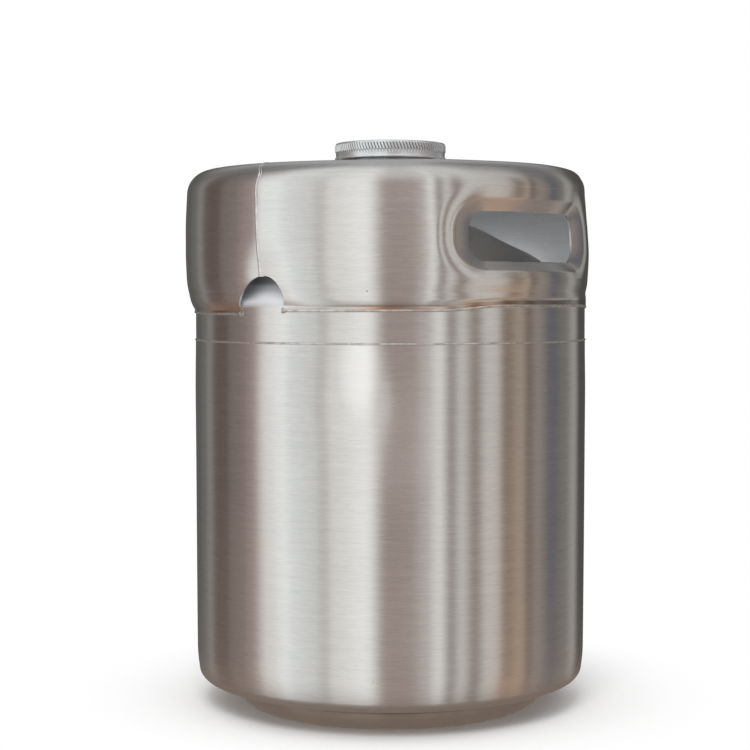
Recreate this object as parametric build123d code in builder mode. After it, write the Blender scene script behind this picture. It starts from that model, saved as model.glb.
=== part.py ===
"""Ten-litre mini keg: a pressed stainless vessel with a welded carrying collar and a knurled screw cap.

Units are millimetres. +Z is up and the origin is on the floor under the centre of the keg. The two hand
holes face +X and -X. The collar's seam, with the drain notch below it, is just to the right of -Y.
"""

import os
from math import acos, atan2, cos, degrees, hypot, radians, sin, sqrt

from build123d import *

# ---- sheet and vessel ----
SHEET = 1.2  # stainless sheet of every pressed piece
BODY_RADIUS = 114.5  # deep-drawn cup, at its rim
BODY_LOW_RADIUS = 113.7  # the same wall above the base: the draft that the press needs
BASE_CORNER_RADIUS = 111.9  # where the wall would meet the base, without the rounding
BODY_EDGE_Z = 212.0  # rim of the cup
BASE_STEP_Z = 14.9  # underside of the stepped-in base
FOOT_RADIUS = 91.1
FOOT_INNER_RADIUS = 77.0
DISH_EDGE = (68.0, 10.5)  # foot of the raised dish: radius and height
DISH_RADIUS = 35.0
DISH_Z = 18.0
SHELL_ROUNDINGS = [60, 60, 7.5, 4, 6, 4, 8, 120]  # from the rim down to the middle of the dish

# ---- shoulder: its flange stands inside the cup's rim ----
LAP_CLEARANCE = 0.1
LAP_DEPTH = 4.0
FLANGE_RADIUS = BODY_RADIUS - SHEET - LAP_CLEARANCE
FLANGE_TOP_Z = 229.0
KNUCKLE_RADIUS = 16.0
CROWN_RADIUS = 152.0
CROWN_CENTRE_Z = FLANGE_TOP_Z - sqrt(
    (CROWN_RADIUS - KNUCKLE_RADIUS) ** 2 - (FLANGE_RADIUS - KNUCKLE_RADIUS) ** 2
)

# ---- neck and its thread ----
NECK_BORE_RADIUS = 26.3
NECK_RADIUS = 28.3
NECK_FOOT_Z = 279.5
NECK_LIP_Z = 322.7
NECK_EDGE_CHAMFER = 0.3
THREAD_PITCH = 3.0
THREAD_HEIGHT = 0.9
THREAD_BASE = 1.3  # width of a ridge where it leaves its wall
THREAD_CREST = 0.6
THREAD_FOOTING = 0.4  # how deep a ridge is let into its wall
THREAD_CLEARANCE = 0.2  # crest to root, radial
FLANK_CLEARANCE = 0.12  # between the loaded flanks, axial
NECK_THREAD_Z = 317.2  # middle of the ridge where it starts
NECK_THREAD_TURNS = 1.5

# ---- cap, liner and gasket ----
CAP_TOP_Z = 326.3
CAP_FOOT_Z = 317.4
CAP_TOP_METAL = 0.8
CAP_RADIUS = 32.05
CAP_INNER_RADIUS = 31.4
CAP_TOP_ROUNDING = 1.6
HEM_INNER_RADIUS = 30.6  # the hem is turned in under the liner
HEM_METAL = 0.5
HEM_BEAD_RADIUS = 0.5
KNURL_RADIUS = 32.4
KNURL_COUNT = 108
KNURL_GROOVE = 0.55  # side of the square cutter that makes each groove
KNURL_FOOT_Z = 321.2
KNURL_TOP_Z = 324.8
LINER_BORE_RADIUS = NECK_RADIUS + THREAD_HEIGHT + THREAD_CLEARANCE
GASKET_THICKNESS = 1.5
GASKET_INNER_RADIUS = 24.8
GASKET_RADIUS = 29.1
CAP_THREAD_Z = 318.8  # middle of the cap's ridge where it starts
CAP_THREAD_TURNS = 1.0

# ---- carrying collar ----
COLLAR_RADIUS = 119.6
COLLAR_FOOT_Z = 229.0
COLLAR_LIP_RADIUS = FLANGE_RADIUS + SHEET
COLLAR_LIP_TOP_Z = 230.2
COLLAR_TUCK_Z = 238.7  # where the tucked-in foot would meet the straight wall, without the rounding
COLLAR_LIP_ROUNDING = 3.0
COLLAR_TUCK_ROUNDING = 28.0
RIM_TOP_Z = 309.4
RIM_ROLL_RADIUS = 13.2
RIM_LIP = 3.0  # straight end of the rolled rim
WALL_FOOT_Z = 247.4  # the straight wall, which the hand holes are drawn in
WALL_TOP_Z = 294.4

# ---- hand holes, drain notch and seam ----
HAND_HOLE_LENGTH = 87.3
HAND_HOLE_HEIGHT = 27.7
HAND_HOLE_CORNER = 11.1
HAND_HOLE_Z = 269.7
HAND_HOLE_DRAW_RADIUS = 8.1  # outside of the drawn edge
HAND_HOLE_REACH_RADIUS = 110.2  # how near the keg's axis the drawn edge comes
DRAW_BLOCK_RADIUS = 99.0  # inside of the block that the drawn edge is formed in
SEAM_HEADING = -81.6  # degrees from +X towards +Y
NOTCH_RADIUS = 15.0
NOTCH_Z = 232.8
SEAM_WIDTH = 2.4

# ---- weld beads ----
SEAM_BEAD_HEIGHT = 0.35
SEAM_ROOT_HEIGHT = 0.2
SEAM_RUN_OUT = 1.0  # how far the seam's profile starts below the notch's top
GIRTH_BEAD = (1.5, 1.4)  # half width and half height of the bead's section
GIRTH_BEAD_PROUD = 0.5
GIRTH_BEAD_RISE = 0.2  # how far the bead's middle is above the cup's rim
EDGE_BEAD = (1.3, 1.4)  # legs: across the collar's edge and down the flange
NECK_BEAD_RADIUS = 2.4

REACH = 150.0  # past every wall, for cuts that go right through
CUT_PAST = 5.0  # how far a smaller cutter goes past what it trims
SLACK = 0.01  # how near a measured place has to be to count as the place that is meant

os.makedirs("parts", exist_ok=True)


def save(part, name):
    """Labels a finished piece and writes it as its own STEP file."""
    part.label = name
    export_step(part, f"parts/{name}.step")


def upright_plane(heading):
    """The plane through the keg's axis whose X runs outwards at this heading and whose Y is up."""
    turn = radians(heading)
    return Plane((0, 0, 0), x_dir=(cos(turn), sin(turn), 0), z_dir=(sin(turn), -cos(turn), 0))


def thread_ridge(radius, turns, side):
    """A thread ridge that starts at +X and height 0. A side of 1 faces outwards, and -1 inwards."""
    flank = (THREAD_BASE - THREAD_CREST) / 2 / THREAD_HEIGHT
    half_foot = THREAD_BASE / 2 + flank * THREAD_FOOTING
    half_crest = THREAD_CREST / 2
    with BuildPart() as ridge:
        with BuildLine() as path:
            Helix(pitch=THREAD_PITCH, height=THREAD_PITCH * turns, radius=radius)
        with BuildSketch(Plane(path.line @ 0, x_dir=(1, 0, 0), z_dir=path.line % 0)):
            Polygon(
                (-side * THREAD_FOOTING, -half_foot),
                (side * THREAD_HEIGHT, -half_crest),
                (side * THREAD_HEIGHT, half_crest),
                (-side * THREAD_FOOTING, half_foot),
                align=None,
            )
        sweep(is_frenet=True)
    return ridge.part


def pressed_block(inner_radius, outer_radius, growth, draw_radius):
    """A thick ring with both hand holes cut through it and their outer edges rounded over."""
    with BuildPart() as block:
        with BuildSketch(Plane.XY.offset(WALL_FOOT_Z)):
            Circle(outer_radius)
            Circle(inner_radius, mode=Mode.SUBTRACT)
        extrude(amount=WALL_TOP_Z - WALL_FOOT_Z)
        with BuildSketch(Plane.YZ):
            with Locations((0, HAND_HOLE_Z)):
                RectangleRounded(
                    HAND_HOLE_LENGTH + 2 * growth,
                    HAND_HOLE_HEIGHT + 2 * growth,
                    HAND_HOLE_CORNER + growth,
                )
        extrude(amount=REACH, both=True, mode=Mode.SUBTRACT)
        mouths = []
        for edge in block.edges():
            middle = edge @ 0.5
            on_outside = abs(hypot(middle.X, middle.Y) - outer_radius) < SLACK
            in_length = abs(middle.Y) < HAND_HOLE_LENGTH / 2 + growth + SLACK
            in_height = abs(middle.Z - HAND_HOLE_Z) < HAND_HOLE_HEIGHT / 2 + growth + SLACK
            if on_outside and in_length and in_height:
                mouths.append(edge)
        fillet(mouths, draw_radius)
    return block.part


# ---- lower shell: one deep-drawn cup with a stepped foot and a raised dish ----
with BuildPart() as lower_shell:
    with BuildSketch(Plane.XZ):
        with BuildLine():
            FilletPolyline(
                (BODY_RADIUS, BODY_EDGE_Z),
                (BODY_RADIUS, BODY_EDGE_Z - LAP_DEPTH),
                (BODY_LOW_RADIUS, 2 * BASE_STEP_Z),
                (BASE_CORNER_RADIUS, BASE_STEP_Z),
                (FOOT_RADIUS, BASE_STEP_Z),
                (FOOT_RADIUS, 0),
                (FOOT_INNER_RADIUS, 0),
                DISH_EDGE,
                (DISH_RADIUS, DISH_Z),
                (0, DISH_Z),
                radius=SHELL_ROUNDINGS,
            )
            offset(amount=SHEET, side=Side.RIGHT)
        make_face()
    revolve(axis=Axis.Z)
save(lower_shell.part, "lower_shell")

# ---- girth weld: a proud bead that seals the cup's rim to the shoulder's flange ----
with BuildPart() as girth_weld:
    with BuildSketch(Plane.XZ):
        with Locations(
            (BODY_RADIUS + GIRTH_BEAD_PROUD - GIRTH_BEAD[0], BODY_EDGE_Z + GIRTH_BEAD_RISE)
        ):
            Ellipse(*GIRTH_BEAD)
        with Locations((0, BODY_EDGE_Z)):
            Rectangle(2 * FLANGE_RADIUS, 2 * CUT_PAST, mode=Mode.SUBTRACT)
            Rectangle(
                2 * BODY_RADIUS, CUT_PAST, align=(Align.CENTER, Align.MAX), mode=Mode.SUBTRACT
            )
    revolve(axis=Axis.Z)
save(girth_weld.part, "girth_weld")

# ---- neck weld: a round bead in the corner between neck and shoulder ----
crown_at_neck_z = CROWN_CENTRE_Z + sqrt(CROWN_RADIUS**2 - NECK_RADIUS**2)
with BuildPart() as neck_weld:
    with BuildSketch(Plane.XZ):
        with Locations((NECK_RADIUS, crown_at_neck_z)):
            Circle(NECK_BEAD_RADIUS)
        with Locations((0, crown_at_neck_z)):
            Rectangle(2 * NECK_RADIUS, 2 * CUT_PAST, mode=Mode.SUBTRACT)
    revolve(axis=Axis.Z)
save(neck_weld.part, "neck_weld")

# ---- shoulder: a straight flange, a knuckle and a shallow crown with a hole for the neck ----
knuckle_angle = degrees(atan2(FLANGE_TOP_Z - CROWN_CENTRE_Z, FLANGE_RADIUS - KNUCKLE_RADIUS))
crown_angle = degrees(acos(NECK_BORE_RADIUS / CROWN_RADIUS)) - knuckle_angle
with BuildPart() as shoulder_dome:
    with BuildSketch(Plane.XZ):
        with BuildLine():
            Line((FLANGE_RADIUS, BODY_EDGE_Z - LAP_DEPTH), (FLANGE_RADIUS, FLANGE_TOP_Z))
            CenterArc(
                (FLANGE_RADIUS - KNUCKLE_RADIUS, FLANGE_TOP_Z), KNUCKLE_RADIUS, 0, knuckle_angle
            )
            CenterArc((0, CROWN_CENTRE_Z), CROWN_RADIUS, knuckle_angle, crown_angle)
            offset(amount=SHEET, side=Side.LEFT)
        make_face()
        with Locations((0, crown_at_neck_z)):
            Rectangle(2 * NECK_RADIUS, 2 * CUT_PAST, mode=Mode.SUBTRACT)
    revolve(axis=Axis.Z)
    add(neck_weld.part, mode=Mode.SUBTRACT)
save(shoulder_dome.part, "shoulder_dome")

# ---- neck: a turned tube let into the shoulder, with a single-start thread below its lip ----
neck_ridge = thread_ridge(NECK_RADIUS, NECK_THREAD_TURNS, 1)
with BuildPart() as neck_spout:
    with BuildSketch(Plane.XZ) as neck_wall:
        with Locations((NECK_BORE_RADIUS, NECK_FOOT_Z)):
            Rectangle(
                NECK_RADIUS - NECK_BORE_RADIUS,
                NECK_LIP_Z - NECK_FOOT_Z,
                align=(Align.MIN, Align.MIN),
            )
        chamfer(neck_wall.vertices(), NECK_EDGE_CHAMFER)
    revolve(axis=Axis.Z)
    with Locations((0, 0, NECK_THREAD_Z)):
        add(neck_ridge)
save(neck_spout.part, "neck_spout")

# ---- cap gasket: a flat silicone washer between the neck's lip and the liner ----
with BuildPart() as cap_gasket:
    with BuildSketch(Plane.XY.offset(NECK_LIP_Z)):
        Circle(GASKET_RADIUS)
        Circle(GASKET_INNER_RADIUS, mode=Mode.SUBTRACT)
    extrude(amount=GASKET_THICKNESS)
save(cap_gasket.part, "cap_gasket")

# ---- cap liner: the moulded insert with the cap's thread ----
# Its ridge rides under the neck's ridge. Where they pass each other, half of each ridge's width and
# the clearance lie between their two middles, so the cap's ridge starts further round the same helix.
engaged_width = THREAD_BASE - (THREAD_BASE - THREAD_CREST) / 2 * (
    1 + THREAD_CLEARANCE / THREAD_HEIGHT
)
ridge_drop = engaged_width + FLANK_CLEARANCE
cap_ridge_heading = 360 * (CAP_THREAD_Z + ridge_drop - NECK_THREAD_Z) / THREAD_PITCH
cap_ridge = thread_ridge(LINER_BORE_RADIUS, CAP_THREAD_TURNS, -1)
liner_foot_z = CAP_FOOT_Z + HEM_METAL
liner_top_z = CAP_TOP_Z - CAP_TOP_METAL
with BuildPart() as cap_thread_liner:
    with BuildSketch(Plane.XY.offset(liner_foot_z)):
        Circle(CAP_INNER_RADIUS)
    extrude(amount=liner_top_z - liner_foot_z)
    with BuildSketch(Plane.XY.offset(liner_foot_z)):
        Circle(LINER_BORE_RADIUS)
    extrude(amount=NECK_LIP_Z + GASKET_THICKNESS - liner_foot_z, mode=Mode.SUBTRACT)
    with Locations(Location((0, 0, CAP_THREAD_Z), (0, 0, cap_ridge_heading))):
        add(cap_ridge)
save(cap_thread_liner.part, "cap_thread_liner")

# ---- cap shell: a spun cup with a knurled band, a beaded edge and a hem turned in under the liner ----
with BuildPart() as cap_shell:
    with BuildSketch(Plane.XZ):
        with BuildLine():
            FilletPolyline(
                (0, CAP_TOP_Z),
                (CAP_RADIUS, CAP_TOP_Z),
                (CAP_RADIUS, CAP_FOOT_Z),
                radius=CAP_TOP_ROUNDING,
            )
            Polyline(
                (CAP_RADIUS, CAP_FOOT_Z),
                (HEM_INNER_RADIUS, CAP_FOOT_Z),
                (HEM_INNER_RADIUS, liner_foot_z),
                (CAP_INNER_RADIUS, liner_foot_z),
                (CAP_INNER_RADIUS, liner_top_z),
                (0, liner_top_z),
                (0, CAP_TOP_Z),
            )
        make_face()
        with Locations((CAP_RADIUS, CAP_FOOT_Z + HEM_BEAD_RADIUS)):
            Circle(HEM_BEAD_RADIUS)
    revolve(axis=Axis.Z)
    with BuildSketch(Plane.XY.offset(KNURL_FOOT_Z)):
        Circle(KNURL_RADIUS)
        with PolarLocations(KNURL_RADIUS, KNURL_COUNT):
            Rectangle(KNURL_GROOVE, KNURL_GROOVE, rotation=45, mode=Mode.SUBTRACT)
        Circle((CAP_RADIUS + CAP_INNER_RADIUS) / 2, mode=Mode.SUBTRACT)
    extrude(amount=KNURL_TOP_Z - KNURL_FOOT_Z)
save(cap_shell.part, "cap_shell")

# ---- drain notch: an arch in the collar that lets spilt drink run off the shoulder ----
seam_turn = radians(SEAM_HEADING)
notch_plane = Plane(
    (0, 0, 0), x_dir=(-sin(seam_turn), cos(seam_turn), 0), z_dir=(cos(seam_turn), sin(seam_turn), 0)
)
with BuildPart() as notch_cut:
    with BuildSketch(notch_plane):
        with Locations((0, NOTCH_Z)):
            Circle(NOTCH_RADIUS)
            Rectangle(2 * NOTCH_RADIUS, 2 * NOTCH_RADIUS, align=(Align.CENTER, Align.MAX))
    extrude(amount=REACH)

# ---- collar seam: the butt weld that closes the rolled strip, from the notch over the rim ----
roll_middle_radius = COLLAR_RADIUS - RIM_ROLL_RADIUS
roll_middle_z = RIM_TOP_Z - RIM_ROLL_RADIUS
seam_crown_radius = RIM_ROLL_RADIUS + SEAM_BEAD_HEIGHT
seam_lip_radius = roll_middle_radius - seam_crown_radius
seam_sweep = degrees(SEAM_WIDTH / COLLAR_RADIUS)
with BuildPart() as collar_seam_weld:
    with BuildSketch(upright_plane(SEAM_HEADING - seam_sweep / 2)):
        with BuildLine():
            Line(
                (COLLAR_RADIUS + SEAM_BEAD_HEIGHT, NOTCH_Z + NOTCH_RADIUS - SEAM_RUN_OUT),
                (COLLAR_RADIUS + SEAM_BEAD_HEIGHT, roll_middle_z),
            )
            CenterArc((roll_middle_radius, roll_middle_z), seam_crown_radius, 0, 180)
            Line((seam_lip_radius, roll_middle_z), (seam_lip_radius, roll_middle_z - RIM_LIP))
            offset(amount=SEAM_BEAD_HEIGHT + SHEET + SEAM_ROOT_HEIGHT, side=Side.LEFT)
        make_face()
    revolve(axis=Axis.Z, revolution_arc=seam_sweep)
    add(notch_cut.part, mode=Mode.SUBTRACT)
save(collar_seam_weld.part, "collar_seam_weld")

# ---- carrying collar: a rolled strip with a tucked-in foot, a rolled rim and two drawn hand holes ----
draw_outside = pressed_block(DRAW_BLOCK_RADIUS, COLLAR_RADIUS, 0, HAND_HOLE_DRAW_RADIUS)
draw_inside = pressed_block(
    DRAW_BLOCK_RADIUS - CUT_PAST, COLLAR_RADIUS - SHEET, SHEET, HAND_HOLE_DRAW_RADIUS - SHEET
)
with BuildPart() as top_collar:
    add(draw_outside)
    add(draw_inside, mode=Mode.SUBTRACT)
    with BuildSketch(Plane.XY.offset(WALL_FOOT_Z)):
        Circle(HAND_HOLE_REACH_RADIUS)
    extrude(amount=WALL_TOP_Z - WALL_FOOT_Z, mode=Mode.SUBTRACT)
    with BuildSketch(Plane.XZ):
        with BuildLine():
            FilletPolyline(
                (COLLAR_LIP_RADIUS, COLLAR_FOOT_Z),
                (COLLAR_LIP_RADIUS, COLLAR_LIP_TOP_Z),
                (COLLAR_RADIUS, COLLAR_TUCK_Z),
                (COLLAR_RADIUS, WALL_FOOT_Z),
                radius=[COLLAR_LIP_ROUNDING, COLLAR_TUCK_ROUNDING],
            )
            offset(amount=SHEET, side=Side.LEFT)
        make_face()
    revolve(axis=Axis.Z)
    with BuildSketch(Plane.XZ):
        with BuildLine():
            Line((COLLAR_RADIUS, WALL_TOP_Z), (COLLAR_RADIUS, roll_middle_z))
            CenterArc((roll_middle_radius, roll_middle_z), RIM_ROLL_RADIUS, 0, 180)
            Line(
                (roll_middle_radius - RIM_ROLL_RADIUS, roll_middle_z),
                (roll_middle_radius - RIM_ROLL_RADIUS, roll_middle_z - RIM_LIP),
            )
            offset(amount=SHEET, side=Side.LEFT)
        make_face()
    revolve(axis=Axis.Z)
    add(notch_cut.part, mode=Mode.SUBTRACT)
    add(collar_seam_weld.part, mode=Mode.SUBTRACT)
save(top_collar.part, "top_collar")

# ---- collar edge weld: a fillet bead under the collar's edge, left open at the drain notch ----
with BuildPart() as collar_edge_weld:
    with BuildSketch(Plane.XZ):
        with Locations((FLANGE_RADIUS, COLLAR_FOOT_Z)):
            Ellipse(*EDGE_BEAD)
            for way in ((Align.CENTER, Align.MIN), (Align.MAX, Align.CENTER)):
                Rectangle(2 * CUT_PAST, 2 * CUT_PAST, align=way, mode=Mode.SUBTRACT)
    revolve(axis=Axis.Z)
    add(notch_cut.part, mode=Mode.SUBTRACT)
save(collar_edge_weld.part, "collar_edge_weld")
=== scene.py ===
import math

import bmesh
import bpy
from mathutils import Matrix, Vector, noise


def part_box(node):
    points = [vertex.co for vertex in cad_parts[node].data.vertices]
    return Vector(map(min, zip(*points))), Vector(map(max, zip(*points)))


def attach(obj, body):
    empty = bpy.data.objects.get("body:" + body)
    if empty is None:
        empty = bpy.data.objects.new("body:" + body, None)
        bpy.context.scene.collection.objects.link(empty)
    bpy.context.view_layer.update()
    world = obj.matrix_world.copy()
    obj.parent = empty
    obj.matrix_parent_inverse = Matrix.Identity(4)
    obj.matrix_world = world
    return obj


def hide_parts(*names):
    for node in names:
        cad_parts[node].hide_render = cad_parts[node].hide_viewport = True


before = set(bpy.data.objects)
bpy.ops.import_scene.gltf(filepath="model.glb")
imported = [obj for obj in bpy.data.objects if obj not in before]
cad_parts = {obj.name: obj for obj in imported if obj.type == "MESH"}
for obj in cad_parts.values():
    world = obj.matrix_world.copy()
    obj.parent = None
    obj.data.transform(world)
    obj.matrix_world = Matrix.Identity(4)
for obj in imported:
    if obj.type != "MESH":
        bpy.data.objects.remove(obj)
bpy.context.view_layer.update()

MM = 0.001  # every size below is written in millimetres times MM

# ---- Lower shell ------------------------------------------------------------------------------
# A deep-drawn cup of 1.2 mm stainless sheet. Its wall is brushed round on a lathe, its bottom corner
# is rounded, and a stepped-in foot ring with a raised dish inside it is pressed into the base.
SHEET = 1.2 * MM
CUP_RIM_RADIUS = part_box("lower_shell")[1].x
CUP_RIM_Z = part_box("lower_shell")[1].z
CUP_LAP = 4 * MM
CUP_LOW_RADIUS = 113.7 * MM
BASE_CORNER_RADIUS = 111.9 * MM
BASE_STEP_Z = 14.4 * MM
FOOT_RADIUS = 89.9 * MM
FOOT_TAPER = 0.9 * MM
FOOT_INNER_RADIUS = 77 * MM
DISH_EDGE = (68 * MM, 10.5 * MM)
DISH_RADIUS = 35 * MM
DISH_Z = 18 * MM
CUP_ROUNDINGS = [60 * MM, 60 * MM, 6.8 * MM, 4 * MM, 8.2 * MM, 4 * MM, 8 * MM, 120 * MM]
CUP_NECKING = 0.45 * MM  # how far its rim is drawn in
CUP_NECKING_Z = 180 * MM
MERGE_DISTANCE = 0.01 * MM
ROUND_STEPS = 288


def rounded_path(corners, roundings, longest=6 * MM, arc_step=math.radians(9), fine_z=0, fine=1 * MM):
    """A path through these corners, the inner ones rounded and long runs divided, finely below fine_z."""
    path = [Vector(corners[0])]
    for before, corner, after, radius in zip(corners, corners[1:], corners[2:], roundings):
        corner = Vector(corner)
        way_back = (Vector(before) - corner).normalized()
        way_on = (Vector(after) - corner).normalized()
        if radius == 0:
            path.append(corner)
            continue
        half_angle = way_back.angle(way_on) / 2
        start = corner + way_back * radius / math.tan(half_angle)
        middle = corner + (way_back + way_on).normalized() * radius / math.sin(half_angle)
        turn = math.copysign(math.pi - 2 * half_angle, way_on.cross(way_back))
        steps = max(2, math.ceil(abs(turn) / arc_step))
        for i in range(steps + 1):
            path.append(middle + Matrix.Rotation(turn * i / steps, 2) @ (start - middle))
    path.append(Vector(corners[-1]))
    points = path[:1]
    for point in path[1:]:
        run = point - points[-1]
        if run.length > MERGE_DISTANCE:
            start = points[-1]
            parts = math.ceil(run.length / (fine if max(start.y, point.y) < fine_z else longest) - 0.001)
            points += [start + run * (i + 1) / parts for i in range(parts)]
    return points


def spin_profile(name, profile, steps=ROUND_STEPS, sweep=math.tau, closed=False):
    """A profile of (radius, height) points, drawn beside the axis and spun round it from +X."""
    bpy.ops.object.select_all(action="DESELECT")
    bpy.ops.mesh.primitive_plane_add(size=SHEET, location=(profile[0].x, 0, profile[0].y))
    piece = bpy.context.object
    piece.name = piece.data.name = name
    bpy.ops.object.mode_set(mode="EDIT")
    bpy.ops.mesh.select_mode(type="VERT")
    bpy.ops.mesh.merge(type="CENTER")
    for start, end in zip(profile, profile[1:] + profile[:1] * closed):
        step = (end.x - start.x, 0, end.y - start.y)
        bpy.ops.mesh.extrude_region_move(TRANSFORM_OT_translate={"value": step})
    bpy.ops.mesh.select_all(action="SELECT")
    bpy.ops.mesh.remove_doubles(threshold=MERGE_DISTANCE)
    bpy.ops.mesh.spin(steps=steps, angle=-sweep, center=(0, 0, 0), axis=(0, 0, 1))
    bpy.ops.mesh.select_all(action="SELECT")
    bpy.ops.mesh.remove_doubles(threshold=MERGE_DISTANCE)
    bpy.ops.mesh.normals_make_consistent(inside=False)
    bpy.ops.object.mode_set(mode="OBJECT")
    bpy.ops.object.transform_apply(location=True, rotation=True, scale=True)
    return piece


def thicken(piece, outside, inside, thickness=SHEET):
    """Gives a sheet its thickness, inwards from its outer side, and a finish on each side."""
    piece.data.materials.append(outside)
    piece.data.materials.append(inside)
    solidify = piece.modifiers.new("sheet", "SOLIDIFY")
    solidify.thickness = thickness
    solidify.offset = -1
    solidify.use_even_offset = True
    solidify.material_offset = 1
    bpy.context.view_layer.objects.active = piece
    bpy.ops.object.modifier_apply(modifier=solidify.name)


def smooth(piece, angle=35):
    """Shades a piece smooth, with an edge wherever its faces turn by more than this angle in degrees."""
    bpy.ops.object.select_all(action="DESELECT")
    piece.select_set(True)
    bpy.context.view_layer.objects.active = piece
    bpy.ops.object.shade_smooth_by_angle(angle=math.radians(angle))


def heading_of(spot):
    """The heading of a point from the keg's axis, in radians from +X."""
    return math.atan2(spot.y, spot.x)


def move_out(vertex, push):
    """Moves a vertex straight away from the keg's axis, or towards it where push is below zero."""
    stretch = 1 + push / vertex.co.xy.length
    vertex.co.x *= stretch
    vertex.co.y *= stretch


def press_out(piece, low_z, high_z, radius):
    """Presses what lies within this radius out to it, between two heights, as a lap joint does."""
    for vertex in piece.data.vertices:
        side = vertex.co.xy.length
        if low_z < vertex.co.z < high_z and radius - 2 * SHEET < side < radius:
            move_out(vertex, radius - side)


def finish_piece(piece, body, node):
    """Puts a piece on its body, in place of its plain solid."""
    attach(piece, body)
    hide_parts(node)


def smoothstep(low, high, value):
    """Rises from 0 at low to 1 at high with a soft start and end."""
    t = min(1, max(0, (value - low) / (high - low)))
    return t * t * (3 - 2 * t)


def along_steps(steps, place):
    """The value at a place, eased between steps of (place, value)."""
    if place <= steps[0][0]:
        return steps[0][1]
    for (low, low_value), (high, high_value) in zip(steps, steps[1:]):
        if place <= high:
            return low_value + (high_value - low_value) * smoothstep(low, high, place)
    return steps[-1][1]


def add_node(tree, kind, inputs=None, **settings):
    """A shader node with its settings, and a value or a link for each named or numbered input."""
    node = tree.nodes.new(kind)
    for key, value in settings.items():
        setattr(node, key, value)
    for key, value in (inputs or {}).items():
        if isinstance(value, bpy.types.NodeSocket):
            tree.links.new(value, node.inputs[key])
        else:
            node.inputs[key].default_value = value
    return node


def math_node(tree, operation, *values):
    """The result of a sum on one to three values or sockets."""
    return add_node(tree, "ShaderNodeMath", dict(enumerate(values)), operation=operation).outputs[0]


def between(tree, value, low, high, to_low=0.0, to_high=1.0):
    """Maps a socket smoothly from low..high to to_low..to_high."""
    inputs = {"Value": value, 1: low, 2: high, 3: to_low, 4: to_high}
    return add_node(tree, "ShaderNodeMapRange", inputs, interpolation_type="SMOOTHSTEP").outputs[0]


def tinted(tree, factor, colour, tint, blend="MIX"):
    """One colour blended into another by a factor."""
    inputs = {0: factor, 6: colour, 7: tint}
    return add_node(tree, "ShaderNodeMix", inputs, data_type="RGBA", blend_type=blend).outputs[2]


def new_finish(name):
    """A new material, with its node tree, its shader, and the places on the piece that wears it."""
    material = bpy.data.materials.new(name)
    material.use_nodes = True
    tree = material.node_tree
    position = add_node(tree, "ShaderNodeTexCoord").outputs["Object"]
    return material, tree, tree.nodes["Principled BSDF"], position


def shaded(tree, colour, shade):
    """A colour, lighter or darker by a shade round 1."""
    grey = add_node(tree, "ShaderNodeCombineColor", {0: shade, 1: shade, 2: shade}).outputs[0]
    return tinted(tree, 1.0, (*colour, 1), grey, "MULTIPLY")


def raise_grain(tree, shader, height, strength, distance):
    """Gives a surface a fine relief, up to this distance high."""
    bump = add_node(tree, "ShaderNodeBump", {"Height": height, "Strength": strength, "Distance": distance})
    tree.links.new(bump.outputs[0], shader.inputs["Normal"])


def axis_distance(tree, x, y):
    """How far a place is from the keg's axis."""
    square = math_node(tree, "ADD", math_node(tree, "MULTIPLY", x, x), math_node(tree, "MULTIPLY", y, y))
    return math_node(tree, "SQRT", square)


def brush_grain_group():
    """The marks of an abrasive belt on turned sheet: streaks round the axis, cloudy patches and specks."""
    group = bpy.data.node_groups.new("brush grain", "ShaderNodeTree")
    for name, kind in (
        ("Position", "NodeSocketVector"),
        ("Along", "NodeSocketFloat"),
        ("Across", "NodeSocketFloat"),
    ):
        group.interface.new_socket(name, in_out="INPUT", socket_type=kind)
    for name in ("Streaks", "Clouds", "Specks", "Nicks"):
        group.interface.new_socket(name, in_out="OUTPUT", socket_type="NodeSocketFloat")
    entry = group.nodes.new("NodeGroupInput")
    out = group.nodes.new("NodeGroupOutput")
    x, y, z = add_node(group, "ShaderNodeSeparateXYZ", {0: entry.outputs["Position"]}).outputs
    radius = axis_distance(group, x, y)
    layers = []
    for slow, share in ((1.0, 0.62), (0.22, 0.38)):
        along = math_node(group, "MULTIPLY", entry.outputs["Along"], slow)
        across = math_node(group, "MULTIPLY", entry.outputs["Across"], slow)
        stretched = add_node(
            group,
            "ShaderNodeCombineXYZ",
            {
                "X": math_node(group, "MULTIPLY", x, along),
                "Y": math_node(group, "MULTIPLY", y, along),
                "Z": math_node(group, "MULTIPLY", z, across),
            },
        )
        streak = add_node(
            group,
            "ShaderNodeTexNoise",
            {
                "Vector": stretched.outputs[0],
                "W": math_node(group, "MULTIPLY", radius, across),
                "Scale": 1.0,
                "Detail": 2.0,
                "Roughness": 0.6,
            },
            noise_dimensions="4D",
        )
        layers.append(math_node(group, "MULTIPLY", streak.outputs["Fac"], share))
    group.links.new(math_node(group, "ADD", *layers), out.inputs["Streaks"])
    clouds = add_node(
        group,
        "ShaderNodeTexNoise",
        {"Vector": entry.outputs["Position"], "Scale": 17.0, "Detail": 4.0, "Roughness": 0.55},
    )
    group.links.new(clouds.outputs["Fac"], out.inputs["Clouds"])
    for scale, stretch, core, edge, name in (
        (70.0, (1, 1, 1), 0.024, 0.042, "Specks"),
        (58.0, (1, 1, 0.35), 0.012, 0.026, "Nicks"),
    ):
        place = add_node(
            group, "ShaderNodeVectorMath", {0: entry.outputs["Position"], 1: stretch}, operation="MULTIPLY"
        )
        cells = add_node(group, "ShaderNodeTexVoronoi", {"Vector": place.outputs[0], "Scale": scale})
        keep = between(group, cells.outputs["Color"], 0.45, 0.5)
        spot = between(group, cells.outputs["Distance"], core, edge, 1.0, 0.0)
        group.links.new(math_node(group, "MULTIPLY", spot, keep), out.inputs[name])
    return group


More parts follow.
